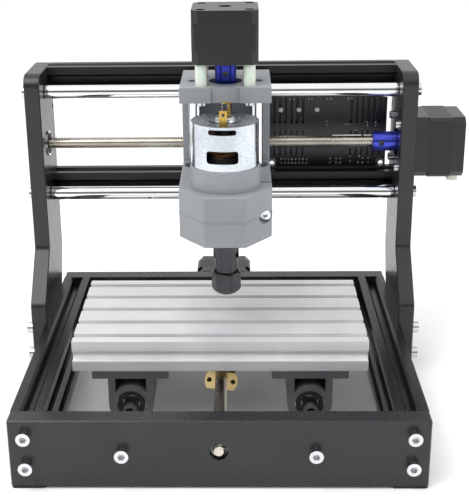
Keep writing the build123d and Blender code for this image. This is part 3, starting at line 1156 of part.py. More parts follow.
BLOCK_TOP = BED_BOTTOM
FLANGE_UNDER = BLOCK_TOP - BLOCK_FLANGE["thick"]
BLOCK_SCREW_SPOTS = [
    (side * Y_ROD_X + d, -y)
    for side in (-1, 1)
    for d in (-BLOCK_SCREW_SPACING / 2, BLOCK_SCREW_SPACING / 2)
    for y in BLOCK_SCREW_YS
]

with BuildPart() as bearing_blocks:
    for block_y in BLOCK_YS:
        with BuildSketch(seen_from_front(block_y + BLOCK_LENGTH)):
            for rod_x, rod_z in Y_ROD_SPOTS:
                with Locations((rod_x, rod_z)):
                    Circle(BLOCK_WIDTH / 2)
                with Locations((rod_x, (rod_z + BLOCK_TOP) / 2)):
                    Rectangle(BLOCK_WIDTH, BLOCK_TOP - rod_z)
                with Locations((rod_x, (FLANGE_UNDER + rod_z) / 2)):
                    window_width = 2 * (ROD_BUSH + BLOCK_WINDOW_GAP)
                    Rectangle(window_width, FLANGE_UNDER - rod_z, mode=Mode.SUBTRACT)
                with Locations((rod_x, (BLOCK_TOP + FLANGE_UNDER) / 2)):
                    flange_width = BLOCK_SCREW_SPACING + BLOCK_FLANGE["margin"]
                    Rectangle(flange_width, BLOCK_FLANGE["thick"])
                with Locations((rod_x, rod_z)):
                    Circle(ROD_BUSH + BLOCK_RING)
                    Circle(ROD_BUSH + SEAT, mode=Mode.SUBTRACT)
        extrude(amount=BLOCK_LENGTH)
    screw_plane = seen_from_below(FLANGE_UNDER)
    drilled(screw_plane, BLOCK_SCREW_SPOTS, M4["shank"] + SLACK, BLOCK_FLANGE["thick"])
finish_part(bearing_blocks.part, "bearing_blocks")

with BuildPart() as y_bushes:
    for block_y in BLOCK_YS:
        bush_plane = seen_from_front(block_y + BUSH_RECESS + ROD_BUSH_LENGTH)
        ring(bush_plane, Y_ROD_SPOTS, ROD_BUSH, ROD + RUNNING, ROD_BUSH_LENGTH)
finish_part(y_bushes.part, "y_linear_bearings")

WING_Y = BED_SLOT_YS[BED_SLOTS // 2]
WING_SPOTS = [(-NUT_BLOCK_SCREWS / 2, -WING_Y), (NUT_BLOCK_SCREWS / 2, -WING_Y)]
NUT_BLOCK_FRONT = WING_Y - NUT_BLOCK["ahead"]

with BuildPart() as nut_block:
    block_height = BED_BOTTOM - NUT_BLOCK["bottom"]
    block_at = (0, NUT_BLOCK["bottom"] + block_height / 2)
    block_plane = seen_from_front(NUT_BLOCK_FRONT + NUT_BLOCK["length"])
    block_size = (NUT_BLOCK["width"], block_height)
    box_on(block_plane, block_at, block_size, NUT_BLOCK["length"])
    chamfer(nut_block.edges().filter_by(Axis.Y).group_by(Axis.Z)[0], NUT_BLOCK["corner"])
    wing_at = (0, BED_BOTTOM - NUT_BLOCK_WING["thick"] / 2)
    wing_size = (NUT_BLOCK_WING["width"], NUT_BLOCK_WING["thick"])
    box_on(block_plane, wing_at, wing_size, NUT_BLOCK["length"])
    wing_under = seen_from_below(BED_BOTTOM - NUT_BLOCK_WING["thick"])
    drilled(wing_under, WING_SPOTS, M4["shank"] + SLACK, NUT_BLOCK_WING["thick"])
    nut_front = seen_from_front(NUT_BLOCK_FRONT)
    drilled(nut_front, [(0, Y_SCREW_Z)], NUT["body"] + SLACK, NUT_BLOCK["length"])
finish_part(nut_block.part, "nut_block")

y_nut_plane = seen_from_front(NUT_BLOCK_FRONT - NUT["flange_thick"])
finish_part(flanged_nut(y_nut_plane, (0, Y_SCREW_Z), Y_NUT_TURN), "y_nut")

with BuildPart() as bed_fasteners:
    slot_grip = TEE["depth"] - 1
    add(cap_screws(screw_plane, BLOCK_SCREW_SPOTS, M4, BLOCK_FLANGE["thick"] + slot_grip))
    add(cap_screws(wing_under, WING_SPOTS, M4, NUT_BLOCK_WING["thick"] + slot_grip))
    nut_lip = seen_from_below(BED_BOTTOM + TEE["lip"] + SEAT)
    add(tee_nuts(nut_lip, BLOCK_SCREW_SPOTS + WING_SPOTS, M4["shank"]))
finish_part(bed_fasteners.part, "bed_fasteners")

# ---- Control board -------------------------------------------------------------------
BOARD_HOLES = [
    (BOARD_X + a * (BOARD_WIDTH / 2 - BOARD_EDGE), BOARD_Z + b * (BOARD_HEIGHT / 2 - BOARD_EDGE))
    for a in (-1, 1)
    for b in (-1, 1)
]

with BuildPart() as control_board:
    with BuildSketch(seen_from_front(BOARD_BACK)):
        with Locations((BOARD_X, BOARD_Z)):
            RectangleRounded(BOARD_WIDTH, BOARD_HEIGHT, BOARD_CORNER)
        for row in VENT_ROWS:
            for group in VENT_GROUPS:
                with Locations((BOARD_X + group, row)):
                    with GridLocations(VENT["pitch"], 1, VENT["count"], 1):
                        SlotOverall(VENT["length"], VENT["width"], rotation=90, mode=Mode.SUBTRACT)
        with Locations(*BOARD_HOLES):
            Circle(M3["shank"] + SLACK, mode=Mode.SUBTRACT)
    extrude(amount=BOARD_THICK)
finish_part(control_board.part, "control_board")

with BuildPart() as board_hardware:
    spacer_spots = mirrored(BOARD_HOLES)
    spacer_bore = M3["shank"] + SLACK
    ring(seen_from_back(UPRIGHT_BACK), spacer_spots, SPACER["radius"], spacer_bore, SPACER["length"])
    top_holes = mirrored([spot for spot in BOARD_HOLES if spot[1] > BOARD_Z])
    board_screw = BOARD_THICK + SPACER["length"] + BOARD_SCREW_GRIP
    add(cap_screws(seen_from_back(BOARD_BACK), top_holes, M3, board_screw))
finish_part(board_hardware.part, "board_hardware")

COMPONENT_SIDE = seen_from_back(BOARD_BACK)

with BuildPart() as driver_modules:
    sink_base = COMPONENT_SIDE.offset(HEAT_SINK["stand"])
    sink_rows = sum(VENT_ROWS) / 2
    for group in VENT_GROUPS:
        sink_at = (-BOARD_X - group, sink_rows)
        box_on(sink_base, sink_at, (HEAT_SINK["width"], HEAT_SINK["height"]), HEAT_SINK["base"])
        for side in (-1, 1):
            post_at = (sink_at[0] + side * (HEAT_SINK["width"] - HEAT_SINK["post"]) / 2, sink_rows)
            post_size = (HEAT_SINK["post"], HEAT_SINK["post"])
            box_on(COMPONENT_SIDE, post_at, post_size, HEAT_SINK["stand"])
        for fin in range(FIN["count"]):
            fin_x = sink_at[0] + FIN["pitch"] * (fin - (FIN["count"] - 1) / 2)
            fin_size = (FIN["thick"], HEAT_SINK["height"])
            box_on(sink_base.offset(HEAT_SINK["base"]), (fin_x, sink_rows), fin_size, FIN["height"])
finish_part(driver_modules.part, "driver_modules")

BUTTON_AT = (-BOARD_X + BUTTON["across"], BOARD_Z + BUTTON["up"])
WELL_FLOOR = BUTTON["height"] - BUTTON["sink"]

with BuildPart() as board_sockets:
    for step in (-1, 0, 1):
        lead_at = (-BOARD_X + step * LEAD_SOCKETS["spacing"], BOARD_Z + LEAD_SOCKETS["up"])
        box_on(COMPONENT_SIDE, lead_at, LEAD_SOCKETS["size"], LEAD_SOCKETS["height"])
    for (across, up), size, height in INPUT_SOCKETS:
        box_on(COMPONENT_SIDE, (-BOARD_X + across, BOARD_Z + up), size, height)
    box_on(COMPONENT_SIDE, BUTTON_AT, (BUTTON["case"], BUTTON["case"]), BUTTON["height"])
    well_top = COMPONENT_SIDE.offset(BUTTON["height"])
    box_on(well_top, BUTTON_AT, (BUTTON["well"], BUTTON["well"]), -BUTTON["sink"], mode=Mode.SUBTRACT)
finish_part(board_sockets.part, "board_sockets")

with BuildPart() as capacitors:
    capacitor_spots = [(-BOARD_X, BOARD_Z + up) for up in CAPACITOR_HEIGHTS]
    rods(COMPONENT_SIDE, capacitor_spots, CAPACITOR["radius"], CAPACITOR["height"])
    chamfer(capacitors.faces().sort_by(Axis.Y)[-1].edges(), FINE_EDGE)
finish_part(capacitors.part, "capacitors")

with BuildPart() as power_button:
    button_base = COMPONENT_SIDE.offset(WELL_FLOOR + BUTTON_TRAVEL + SLACK)
    box_on(button_base, BUTTON_AT, (BUTTON["key"], BUTTON["key"]), BUTTON["sink"])
    chamfer(power_button.faces().sort_by(Axis.Y)[-1].edges(), FINE_EDGE)
finish_part(power_button.part, "power_button")
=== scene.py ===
# %% [markdown]
# # A desktop CNC router
# This machine is a small router for wood and plastics: a slotted aluminium bed slides on two round
# rods, a gantry carries a plastic X carriage, and a Z slide holds a brushed motor with a collet chuck.
# The CAD frame already holds every bought and cut part at its real size, so this file gives those
# parts their finishes and adds what is too fine for CAD: screw threads, set screws, bearing seals,
# copper windings and solder joints.

# %% Load the frame
import json
import math

import bpy
import numpy as np
from mathutils import Matrix, Vector


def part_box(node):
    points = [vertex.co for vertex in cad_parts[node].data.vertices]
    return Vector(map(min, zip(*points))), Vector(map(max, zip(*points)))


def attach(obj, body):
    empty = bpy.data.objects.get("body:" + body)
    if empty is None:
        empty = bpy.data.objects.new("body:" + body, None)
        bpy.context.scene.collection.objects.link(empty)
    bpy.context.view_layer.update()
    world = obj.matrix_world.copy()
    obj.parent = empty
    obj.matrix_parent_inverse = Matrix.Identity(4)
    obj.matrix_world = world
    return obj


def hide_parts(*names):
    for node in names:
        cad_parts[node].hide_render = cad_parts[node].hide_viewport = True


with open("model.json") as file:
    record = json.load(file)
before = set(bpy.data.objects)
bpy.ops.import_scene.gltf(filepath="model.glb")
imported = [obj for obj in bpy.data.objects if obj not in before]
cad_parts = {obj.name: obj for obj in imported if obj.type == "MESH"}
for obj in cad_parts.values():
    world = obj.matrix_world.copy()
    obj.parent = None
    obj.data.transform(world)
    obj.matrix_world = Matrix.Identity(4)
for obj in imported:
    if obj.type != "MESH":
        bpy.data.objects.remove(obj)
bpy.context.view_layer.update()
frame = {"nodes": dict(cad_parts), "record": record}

# %% [markdown]
# ## Where things are
# Two planes place everything: the middle of the base (between the two side beams) and the front face
# of the front plate. Both are read from the frame, so the scene follows the CAD if a size changes.

# %% Datum planes and lengths
MM = 0.001
beams_low, beams_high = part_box("side_beams")
MIDDLE_X = (beams_low.x + beams_high.x) / 2
FRONT_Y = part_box("front_plate")[0].y


def machine(x_mm, y_mm, z_mm):
    """A point counted from the base's middle, the front plate's face and the floor."""
    return Vector((MIDDLE_X + x_mm * MM, FRONT_Y + y_mm * MM, z_mm * MM))


def middle(node):
    """The middle of a CAD node's box."""
    low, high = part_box(node)
    return (low + high) / 2


print("base middle and front face:", round(MIDDLE_X, 4), round(FRONT_Y, 4))

# %% [markdown]
# ## The camera
# A long lens a bit more than half a metre in front of the machine looks down on it by about twenty
# degrees. The small shift keeps the upright lines as they are while the machine sits right of the
# lens axis.

# %% Camera
CAMERA_AT = machine(13.15, -555.93, 358.65)
PITCH, YAW, ROLL = math.radians(20.14), math.radians(-1.37), math.radians(0.69)
LENS_MM = 77.472
SENSOR_MM = 36.0
SHIFT_X, SHIFT_Y = 0.03692, -0.0065  # shares of the frame's longer side

forward = Vector(
    (math.sin(YAW) * math.cos(PITCH), math.cos(YAW) * math.cos(PITCH), -math.sin(PITCH))
)
right = Vector((math.cos(YAW), -math.sin(YAW), 0))
down = forward.cross(right)
right_rolled = math.cos(ROLL) * right + math.sin(ROLL) * down
down_rolled = math.cos(ROLL) * down - math.sin(ROLL) * right

camera_data = bpy.data.cameras.new("camera")
camera_data.sensor_width = SENSOR_MM
camera_data.lens = LENS_MM
camera_data.shift_x = SHIFT_X
camera_data.shift_y = SHIFT_Y
camera = bpy.data.objects.new("camera", camera_data)
turn = Matrix((right_rolled, -down_rolled, -forward)).transposed().to_4x4()
camera.matrix_world = Matrix.Translation(CAMERA_AT) @ turn
bpy.context.scene.collection.objects.link(camera)
bpy.context.scene.camera = camera
print("lens mm:", round(camera_data.lens, 2))

# %% [markdown]
# ## Two helpers for node trees
# Every finish and every Geometry Nodes tree below is built from the same small function. It adds one
# node, sets its settings, and then sets or links its inputs. Colours are written as the usual hex
# values of the screen (sRGB), and one function turns them into the linear values that Blender's
# shaders work in.


# %% Node and colour helpers
def add_node(tree, kind, settings=None, inputs=None):
    """Add a node, set its settings, then set or link its inputs by name or number."""
    made = tree.nodes.new(kind)
    for key, value in (settings or {}).items():
        setattr(made, key, value)
    for key, value in (inputs or {}).items():
        if isinstance(value, bpy.types.NodeSocket):
            tree.links.new(value, made.inputs[key])
        else:
            made.inputs[key].default_value = value
    return made


def linear(hex_colour):
    """sRGB hex to linear red, green, blue and alpha."""
    channels = [int(hex_colour[i : i + 2], 16) / 255 for i in (1, 3, 5)]
    curve = [c / 12.92 if c <= 0.04045 else ((c + 0.055) / 1.055) ** 2.4 for c in channels]
    return (*curve, 1.0)


# %% [markdown]
# ## A recipe for real surfaces
# No real surface is one flat colour. Machining, moulding, drawing through a die and handling leave a
# grain: small changes in colour and gloss, and a shallow relief. One recipe covers most parts here. A
# noise pattern in object space, stretched along the direction in which the surface was worked, drives
# the colour between two close tones, the roughness between two values, and a fine bump.


# %% Surface recipe
def surface(name, dark, light, rough, grain, bump, **shader_values):
    """A material whose colour, roughness and relief follow a grain.

    dark and light are the two tones, rough the two roughness values, grain the size of the grain in
    millimetres along X, Y and Z, and bump the depth of the relief in millimetres.
    """
    material = bpy.data.materials.new(name)
    material.use_nodes = True
    tree = material.node_tree
    shader = tree.nodes["Principled BSDF"]
    for key, value in shader_values.items():
        shader.inputs[key.replace("_", " ").title().replace("Ior", "IOR")].default_value = value
    place = add_node(tree, "ShaderNodeTexCoord").outputs["Object"]
    scaled = add_node(
        tree,
        "ShaderNodeMapping",
        inputs={"Vector": place, "Scale": [1 / (g * MM) for g in grain]},
    ).outputs[0]
    coarse = add_node(
        tree, "ShaderNodeTexNoise", inputs={"Vector": scaled, "Scale": 1.0, "Detail": 5.0}
    ).outputs[0]
    broad = add_node(
        tree, "ShaderNodeTexNoise", inputs={"Vector": place, "Scale": 35.0, "Detail": 3.0}
    ).outputs[0]
    blend = add_node(
        tree, "ShaderNodeMath", {"operation": "ADD"}, {0: coarse, 1: broad}
    ).outputs[0]
    tone = add_node(
        tree, "ShaderNodeMapRange", inputs={0: blend, 1: 0.75, 2: 1.25, 3: 0.0, 4: 1.0}
    ).outputs[0]
    colour = add_node(
        tree,
        "ShaderNodeMix",
        {"data_type": "RGBA"},
        {0: tone, 6: linear(dark), 7: linear(light)},
    ).outputs[2]
    gloss = add_node(
        tree, "ShaderNodeMapRange", inputs={0: coarse, 1: 0.3, 2: 0.7, 3: rough[0], 4: rough[1]}
    ).outputs[0]
    relief = add_node(
        tree,
        "ShaderNodeBump",
        inputs={"Strength": 1.0, "Distance": bump * MM, "Height": coarse},
    ).outputs[0]
    tree.links.new(colour, shader.inputs["Base Color"])
    tree.links.new(gloss, shader.inputs["Roughness"])
    tree.links.new(relief, shader.inputs["Normal"])
    return material


# %% [markdown]
# ## The finishes
# Each finish is named for the real material and how its surface was made. Metals keep the default
# index of refraction; plastics start from 1.5.

# %% Sheet, bar and rod finishes
# Paper laminate, sawn and milled: charcoal, satin, with the faint upright lines of the sander.
laminate = surface(
    "phenolic_laminate_milled", "#212124", "#28282b", (0.22, 0.34), (0.8, 0.8, 5), 0.002,
    specular_ior_level=0.45,
)
# Black anodised extrusion: dark and satin with fine die lines along the bar.
black_bar_y = surface(
    "aluminium_black_anodised_beam", "#0f0f11", "#18181a", (0.22, 0.34), (0.35, 60, 0.35), 0.003,
    specular_ior_level=0.4,
)
black_bar_x = surface(
    "aluminium_black_anodised_bar", "#0d0d0f", "#141416", (0.24, 0.34), (60, 0.35, 0.35), 0.002,
    specular_ior_level=0.3,
)
# Clear anodised extrusion: bright, silky, with die lines along X.
silver_bed = surface(
    "aluminium_clear_anodised", "#ececee", "#f8f8f9", (0.34, 0.42), (150, 0.5, 0.5), 0.001,
    metallic=0.55,
)
# Ground and hard-chromed rod: almost a mirror.
chrome = surface(
    "steel_hard_chromed", "#dfe1e3", "#eef0f1", (0.05, 0.1), (0.6, 0.6, 0.6), 0.001, metallic=1.0
)
print("sheet, bar and rod finishes made")

# %% Machined and plated finishes
# Rolled stainless thread: warm grey with bright crests.
stainless = surface(
    "stainless_rolled", "#b7b0a4", "#dbd6cb", (0.16, 0.28), (0.8, 0.8, 0.8), 0.003, metallic=1.0
)
# Bright zinc plate on small steel parts.
zinc = surface(
    "steel_bright_zinc", "#c6c8ca", "#e6e7e9", (0.16, 0.3), (0.9, 0.9, 0.9), 0.003, metallic=1.0
)
# The same plate on the deep-drawn motor can, with its faint crystal bloom.
zinc_can = surface(
    "steel_zinc_drawn", "#b9c0c8", "#dce2e8", (0.14, 0.26), (2.2, 2.2, 1.4), 0.002, metallic=1.0
)
# Black oxide on hardened steel: near black with an oily sheen.
black_oxide = surface(
    "steel_black_oxide", "#3a3a3d", "#4c4c50", (0.2, 0.32), (6, 6, 0.25), 0.004, metallic=0.85
)
# Blue anodised turned aluminium: fine turning marks under the dye.
blue = surface(
    "aluminium_blue_anodised", "#3a40b4", "#5560d8", (0.16, 0.26), (0.5, 0.5, 0.5), 0.003,
    metallic=0.8,
)
# A darker copy of the same blue for the Z coupler: painted shade, for the shade it sits in inside the
# carriage.
blue_with_painted_shade = surface(
    "aluminium_blue_anodised_painted_shade", "#222c90", "#3440ae", (0.18, 0.28), (0.5, 0.5, 0.5), 0.003,
    metallic=0.75,
)
# Turned brass.
brass = surface(
    "brass_turned", "#d3b273", "#efd9a2", (0.18, 0.3), (0.5, 0.5, 0.5), 0.003, metallic=0.9
)
# Cold-rolled brass tab, a little browner with age.
brass_tab = surface(
    "brass_rolled", "#b0903c", "#dfc068", (0.2, 0.34), (0.8, 0.8, 2), 0.003, metallic=0.9
)
# Enamelled copper wire.
copper = surface(
    "copper_enamelled", "#6b4a2c", "#9a6f42", (0.2, 0.34), (0.6, 0.6, 0.6), 0.004, metallic=0.8
)
# Solder and tinned copper on the board and pins.
solder = surface(
    "solder_tinned", "#b3b6b8", "#e2e4e6", (0.24, 0.42), (0.7, 0.7, 0.7), 0.006, metallic=0.9
)
print("machined and plated finishes made")

# %% Moulded and painted finishes
# Moulded ABS, fine spark-eroded texture: mid grey and matt.
grey_abs = surface(
    "abs_grey_moulded", "#84888c", "#8f9397", (0.38, 0.5), (0.35, 0.35, 0.35), 0.006, ior=1.53
)
# The bearing blocks and the nut block get a darker copy of the grey: painted shade, for the shade they sit in
# under the bed.
grey_abs_painted_shade = surface(
    "abs_grey_moulded_painted_shade", "#4c4e51", "#575a5c", (0.36, 0.48), (0.35, 0.35, 0.35), 0.006, ior=1.53
)
black_abs = surface(
    "abs_black_moulded", "#1b1b1d", "#29292c", (0.36, 0.5), (0.35, 0.35, 0.35), 0.006, ior=1.53
)
# Natural nylon: waxy and slightly translucent.
nylon = surface(
    "nylon_natural", "#e6e2cc", "#f2efe0", (0.32, 0.45), (1.5, 1.5, 1.5), 0.004, ior=1.53,
    subsurface_weight=0.3,
)
# Electro-coated die casting: black, satin, with a soft orange-peel.
ecoat = surface(
    "aluminium_black_ecoat", "#0a0a0b", "#111113", (0.24, 0.34), (1.8, 1.8, 1.8), 0.005, ior=1.5
)
# Stamped laminations under black paint: a little rougher than the castings at both ends.
stack_black = surface(
    "steel_laminated_painted", "#0c0c0e", "#151517", (0.34, 0.46), (0.5, 0.5, 0.5), 0.01, ior=1.5
)
# Solder-resist on the control board: black with a blue cast.
resist = surface(
    "fibreglass_black_resist", "#1f2024", "#2a2b30", (0.28, 0.4), (3, 3, 3), 0.004, ior=1.5
)
# Bare tinned copper seen edge-on round the routed slots, dull with flux.
rim_metal = surface("copper_tinned_dull", "#5e6065", "#85878c", (0.34, 0.5), (0.7, 0.7, 0.7), 0.004)
rubber = surface("rubber_moulded", "#19191a", "#242425", (0.6, 0.75), (0.8, 0.8, 0.8), 0.01, ior=1.5)
ferrite = surface("ferrite_ground", "#26262a", "#35353a", (0.45, 0.6), (0.5, 0.5, 0.5), 0.006)
white_plastic = surface(
    "nylon_white_moulded", "#dcd9cf", "#efece4", (0.35, 0.5), (0.8, 0.8, 0.8), 0.004, ior=1.53
)
red_cap = surface(
    "abs_red_moulded", "#8e1616", "#ab2020", (0.3, 0.42), (0.8, 0.8, 0.8), 0.004, ior=1.53
)
print("moulded and painted finishes made")

# %% Put the finishes on the CAD parts
FINISH_OF_SLOT = {
    "phenolic": laminate,
    "black_anodised": black_bar_y,
    "anodised_aluminium": silver_bed,
    "chromed_steel": chrome,
    "stainless": stainless,
    "zinc_steel": zinc,
    "black_oxide": black_oxide,
    "blue_anodised": blue,
    "brass": brass,
    "grey_abs": grey_abs,
    "black_plastic": black_abs,
    "nylon": nylon,
    "motor_black": ecoat,
    "magnet": ferrite,
    "armature": ferrite,
    "circuit_board": resist,
    "rubber": rubber,
    "white_plastic": white_plastic,
    "button_red": red_cap,
}
FINISH_OF_NODE = {
    "crossbars": black_bar_x,
    "z_coupler": blue_with_painted_shade,
    "spindle_can": zinc_can,
    "spindle_terminals": brass_tab,
    "xy_motor_stacks": stack_black,
    "z_motor_stack": stack_black,
    "bearing_blocks": grey_abs_painted_shade,
    "nut_block": grey_abs_painted_shade,
}


def give_finish(node_name, material):
    """Put one material on every slot of a CAD node."""
    mesh = frame["nodes"][node_name].data
    mesh.materials.clear()
    mesh.materials.append(material)


for row in frame["record"]["subparts"]:
    give_finish(row["node"], FINISH_OF_NODE.get(row["node"], FINISH_OF_SLOT[row["material_slot"]]))

# %% [markdown]
# ## Growing small parts with Geometry Nodes
# Threads, wires and solder joints follow a rule or repeat, so Geometry Nodes grows them. Each tree is
# run once and its result kept as a plain mesh that rides on one body of the machine. Two helpers do
# the common work: one starts and ends a tree, the other runs it.


# %% Tree helpers
def start_tree(name, inputs):
    """A tree with named inputs; gives the tree and the sockets of its inputs."""
    tree = bpy.data.node_groups.new(name, "GeometryNodeTree")
    for label, kind in [("Geometry", "Geometry"), *inputs]:
        tree.interface.new_socket(label, in_out="INPUT", socket_type="NodeSocket" + kind)
    tree.interface.new_socket("Geometry", in_out="OUTPUT", socket_type="NodeSocketGeometry")
    return tree, add_node(tree, "NodeGroupInput").outputs


def end_tree(tree, geometry, material):
    """Make instances real, give them their material and put them out."""
    real = add_node(tree, "GeometryNodeRealizeInstances", inputs={0: geometry}).outputs[0]
    faced = add_node(
        tree, "GeometryNodeSetMaterial", inputs={"Geometry": real, "Material": material}
    ).outputs[0]
    add_node(tree, "NodeGroupOutput", inputs={0: faced})


def calculate(tree, operation, *terms, clamp=False):
    """One Math node; terms are numbers or sockets."""
    settings = {"operation": operation, "use_clamp": clamp}
    return add_node(tree, "ShaderNodeMath", settings, dict(enumerate(terms))).outputs[0]


def grow(name, tree, body, values, start=None, place=None, smooth=False):
    """Run a tree on a start mesh and keep the result as a mesh that rides on a body."""
    source = bpy.data.objects.new(name + "_source", start or bpy.data.meshes.new(name + "_source"))
    bpy.context.scene.collection.objects.link(source)
    modifier = source.modifiers.new("grow", "NODES")
    modifier.node_group = tree
    for item in tree.interface.items_tree:
        if item.in_out == "INPUT" and item.name in values:
            modifier[item.identifier] = values[item.name]
    depsgraph = bpy.context.evaluated_depsgraph_get()
    mesh = bpy.data.meshes.new_from_object(source.evaluated_get(depsgraph), depsgraph=depsgraph)
    bpy.data.objects.remove(source)
    if place is not None:
        mesh.transform(place)
    mesh.shade_smooth() if smooth else mesh.shade_flat()
    piece = bpy.data.objects.new(name, mesh)
    bpy.context.scene.collection.objects.link(piece)
    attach(piece, body)
    print(name, "faces:", len(mesh.polygons))
    return piece


# %% [markdown]
# ## Lead screws
# The three lead screws have a trapezoidal thread with four starts: eight millimetres of travel for a
# turn, two millimetres from crest to crest. Cut across, such a screw is a star with four blunt points.
# A tree takes a plain cylinder, moves each point in or out to make that star, and then winds the star
# round the axis, one turn for each lead, as the real screw is rolled.

# %% Thread tree
THREAD_PITCH = 2 * MM
THREAD_STARTS = 4
THREAD_CREST = 4 * MM
THREAD_ROOT = 2.9 * MM
SIDES = 48
STEPS_PER_PITCH = 8
FLANK_START, FLANK_END = 0.38, 0.62  # where a flank starts and ends, as a share of half a pitch

thread_tree, given = start_tree(
    "trapezoidal_thread",
    [("Length", "Float"), ("Crest", "Float"), ("Root", "Float"), ("Pitch", "Float"),
     ("Starts", "Float"), ("Material", "Material")],
)
steps = calculate(
    thread_tree, "MULTIPLY", calculate(thread_tree, "DIVIDE", given["Length"], given["Pitch"]),
    STEPS_PER_PITCH,
)
barrel = add_node(
    thread_tree,
    "GeometryNodeMeshCylinder",
    inputs={"Vertices": SIDES, "Side Segments": steps, "Radius": given["Crest"],
            "Depth": given["Length"]},
).outputs["Mesh"]
spot = add_node(thread_tree, "GeometryNodeInputPosition").outputs[0]
axes = add_node(thread_tree, "ShaderNodeSeparateXYZ", inputs={0: spot}).outputs
angle = calculate(thread_tree, "ARCTAN2", axes[1], axes[0])
turns = calculate(thread_tree, "DIVIDE", angle, math.tau)
phase = calculate(
    thread_tree, "FRACT", calculate(thread_tree, "MULTIPLY", turns, given["Starts"])
)
wave = calculate(
    thread_tree, "ABSOLUTE",
    calculate(thread_tree, "SUBTRACT", calculate(thread_tree, "MULTIPLY", phase, 2.0), 1.0),
)
radius = add_node(
    thread_tree,
    "ShaderNodeMapRange",
    inputs={0: wave, 1: FLANK_START, 2: FLANK_END, 3: given["Root"], 4: given["Crest"]},
).outputs[0]
to_end = calculate(
    thread_tree, "SUBTRACT", calculate(thread_tree, "MULTIPLY", given["Length"], 0.5),
    calculate(thread_tree, "ABSOLUTE", axes[2]),
)
tapered = calculate(
    thread_tree, "MINIMUM", radius, calculate(thread_tree, "ADD", given["Root"], to_end)
)
lead = calculate(thread_tree, "MULTIPLY", given["Pitch"], given["Starts"])
twist = calculate(
    thread_tree, "MULTIPLY", calculate(thread_tree, "DIVIDE", axes[2], lead), math.tau
)
wound = calculate(thread_tree, "ADD", angle, twist)
cut = add_node(
    thread_tree,
    "ShaderNodeCombineXYZ",
    inputs={0: calculate(thread_tree, "MULTIPLY", tapered, calculate(thread_tree, "COSINE", wound)),
            1: calculate(thread_tree, "MULTIPLY", tapered, calculate(thread_tree, "SINE", wound)),
            2: axes[2]},
).outputs[0]
shaped = add_node(
    thread_tree, "GeometryNodeSetPosition", inputs={"Geometry": barrel, "Position": cut}
).outputs[0]
end_tree(thread_tree, shaped, given["Material"])

# %% The three lead screws
TOWARDS = {
    "x": Matrix.Rotation(math.pi / 2, 4, "Y"),
    "y": Matrix.Rotation(-math.pi / 2, 4, "X"),
    "z": Matrix.Identity(4),
}
for letter, axis in (("x", 0), ("y", 1), ("z", 2)):
    node = letter + "_lead_screw"
    low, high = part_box(node)
    screw = grow(
        letter + "_thread",
        thread_tree,
        letter + "_drive",
        {"Length": (high - low)[axis], "Crest": THREAD_CREST, "Root": THREAD_ROOT,
         "Pitch": THREAD_PITCH, "Starts": float(THREAD_STARTS), "Material": stainless},
        place=Matrix.Translation(middle(node)) @ TOWARDS[letter],
    )
    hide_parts(node)

# %% [markdown]
# ## Stamped, soldered and pressed details
# Solder joints, slot rims, set screws and bearing shields are small shapes that repeat.
# Each is drawn once, as a low solid, and one tree copies it to a list of points. Every point says how
# its copy is turned and scaled.

# %% Copying tree
copy_tree, given = start_tree("copies_on_points", [("Shape", "Object"), ("Material", "Material")])
shape_info = add_node(copy_tree, "GeometryNodeObjectInfo", inputs={0: given["Shape"]})
shape = shape_info.outputs["Geometry"]
turned, sized = (
    add_node(
        copy_tree, "GeometryNodeInputNamedAttribute", {"data_type": "FLOAT_VECTOR"}, {0: label}
    ).outputs[0]
    for label in ("turn", "size")
)
copies = add_node(
    copy_tree,
    "GeometryNodeInstanceOnPoints",
    inputs={"Points": given["Geometry"], "Instance": shape, "Rotation": turned, "Scale": sized},
).outputs[0]
end_tree(copy_tree, copies, given["Material"])


def solid(name, rings, caps=True):
    """A shape from rings of points, joined in turn; caps closes the first and last ring."""
    mesh = bpy.data.meshes.new(name)
    count = len(rings[0])
    faces = []
    for ring in range(len(rings) - 1):
        for i in range(count):
            j = (i + 1) % count
            a, b = ring * count, (ring + 1) * count
            faces.append((a + i, a + j, b + j, b + i))
    if caps:
        faces.append(tuple(reversed(range(count))))
        faces.append(tuple((len(rings) - 1) * count + i for i in range(count)))
    mesh.from_pydata([point for ring in rings for point in ring], [], faces)
    shape_object = bpy.data.objects.new(name, mesh)
    bpy.context.scene.collection.objects.link(shape_object)
    return shape_object


def circle(radius_mm, height_mm, sides):
    """One ring of points round the Z axis."""
    angles = [math.tau * i / sides for i in range(sides)]
    radius, height = radius_mm * MM, height_mm * MM
    return [(radius * math.cos(angle), radius * math.sin(angle), height) for angle in angles]


def hexagon(flats_mm, height_mm, sides):
    """A hexagon drawn with the same number of points as a circle."""
    points = []
    for i in range(sides):
        angle = math.tau * i / sides
        corner = (angle + math.pi / 6) % (math.pi / 3) - math.pi / 6
        reach = flats_mm / 2 * MM / math.cos(corner)
        points.append((reach * math.cos(angle), reach * math.sin(angle), height_mm * MM))
    return points


def stadium(width_mm, length_mm, height_mm, sides):
    """A slot's outline, long way along Y."""
    points = []
    for x, y, z in circle(width_mm / 2, height_mm, sides):
        shift = (length_mm - width_mm) / 2 * MM
        points.append((x, y + (shift if y >= 0 else -shift), z))
    return points


def closed_ring(outlines):
    """Rings joined in a loop: a washer or rim with no open edge."""
    return [*outlines, outlines[0]]


def scatter(name, shape_object, body, material, rows):
    """Copies of a shape at rows of (place, turn, size), as one piece."""
    points = bpy.data.meshes.new(name + "_points")
    points.from_pydata([row[0] for row in rows], [], [])
    for label, column in (("turn", 1), ("size", 2)):
        attribute = points.attributes.new(label, "FLOAT_VECTOR", "POINT")
        values = np.array([row[column] for row in rows], np.float32)
        attribute.data.foreach_set("vector", values.ravel())
    values = {"Shape": shape_object, "Material": material}
    piece = grow(name, copy_tree, body, values, start=points)
    bpy.data.objects.remove(shape_object)
    return piece


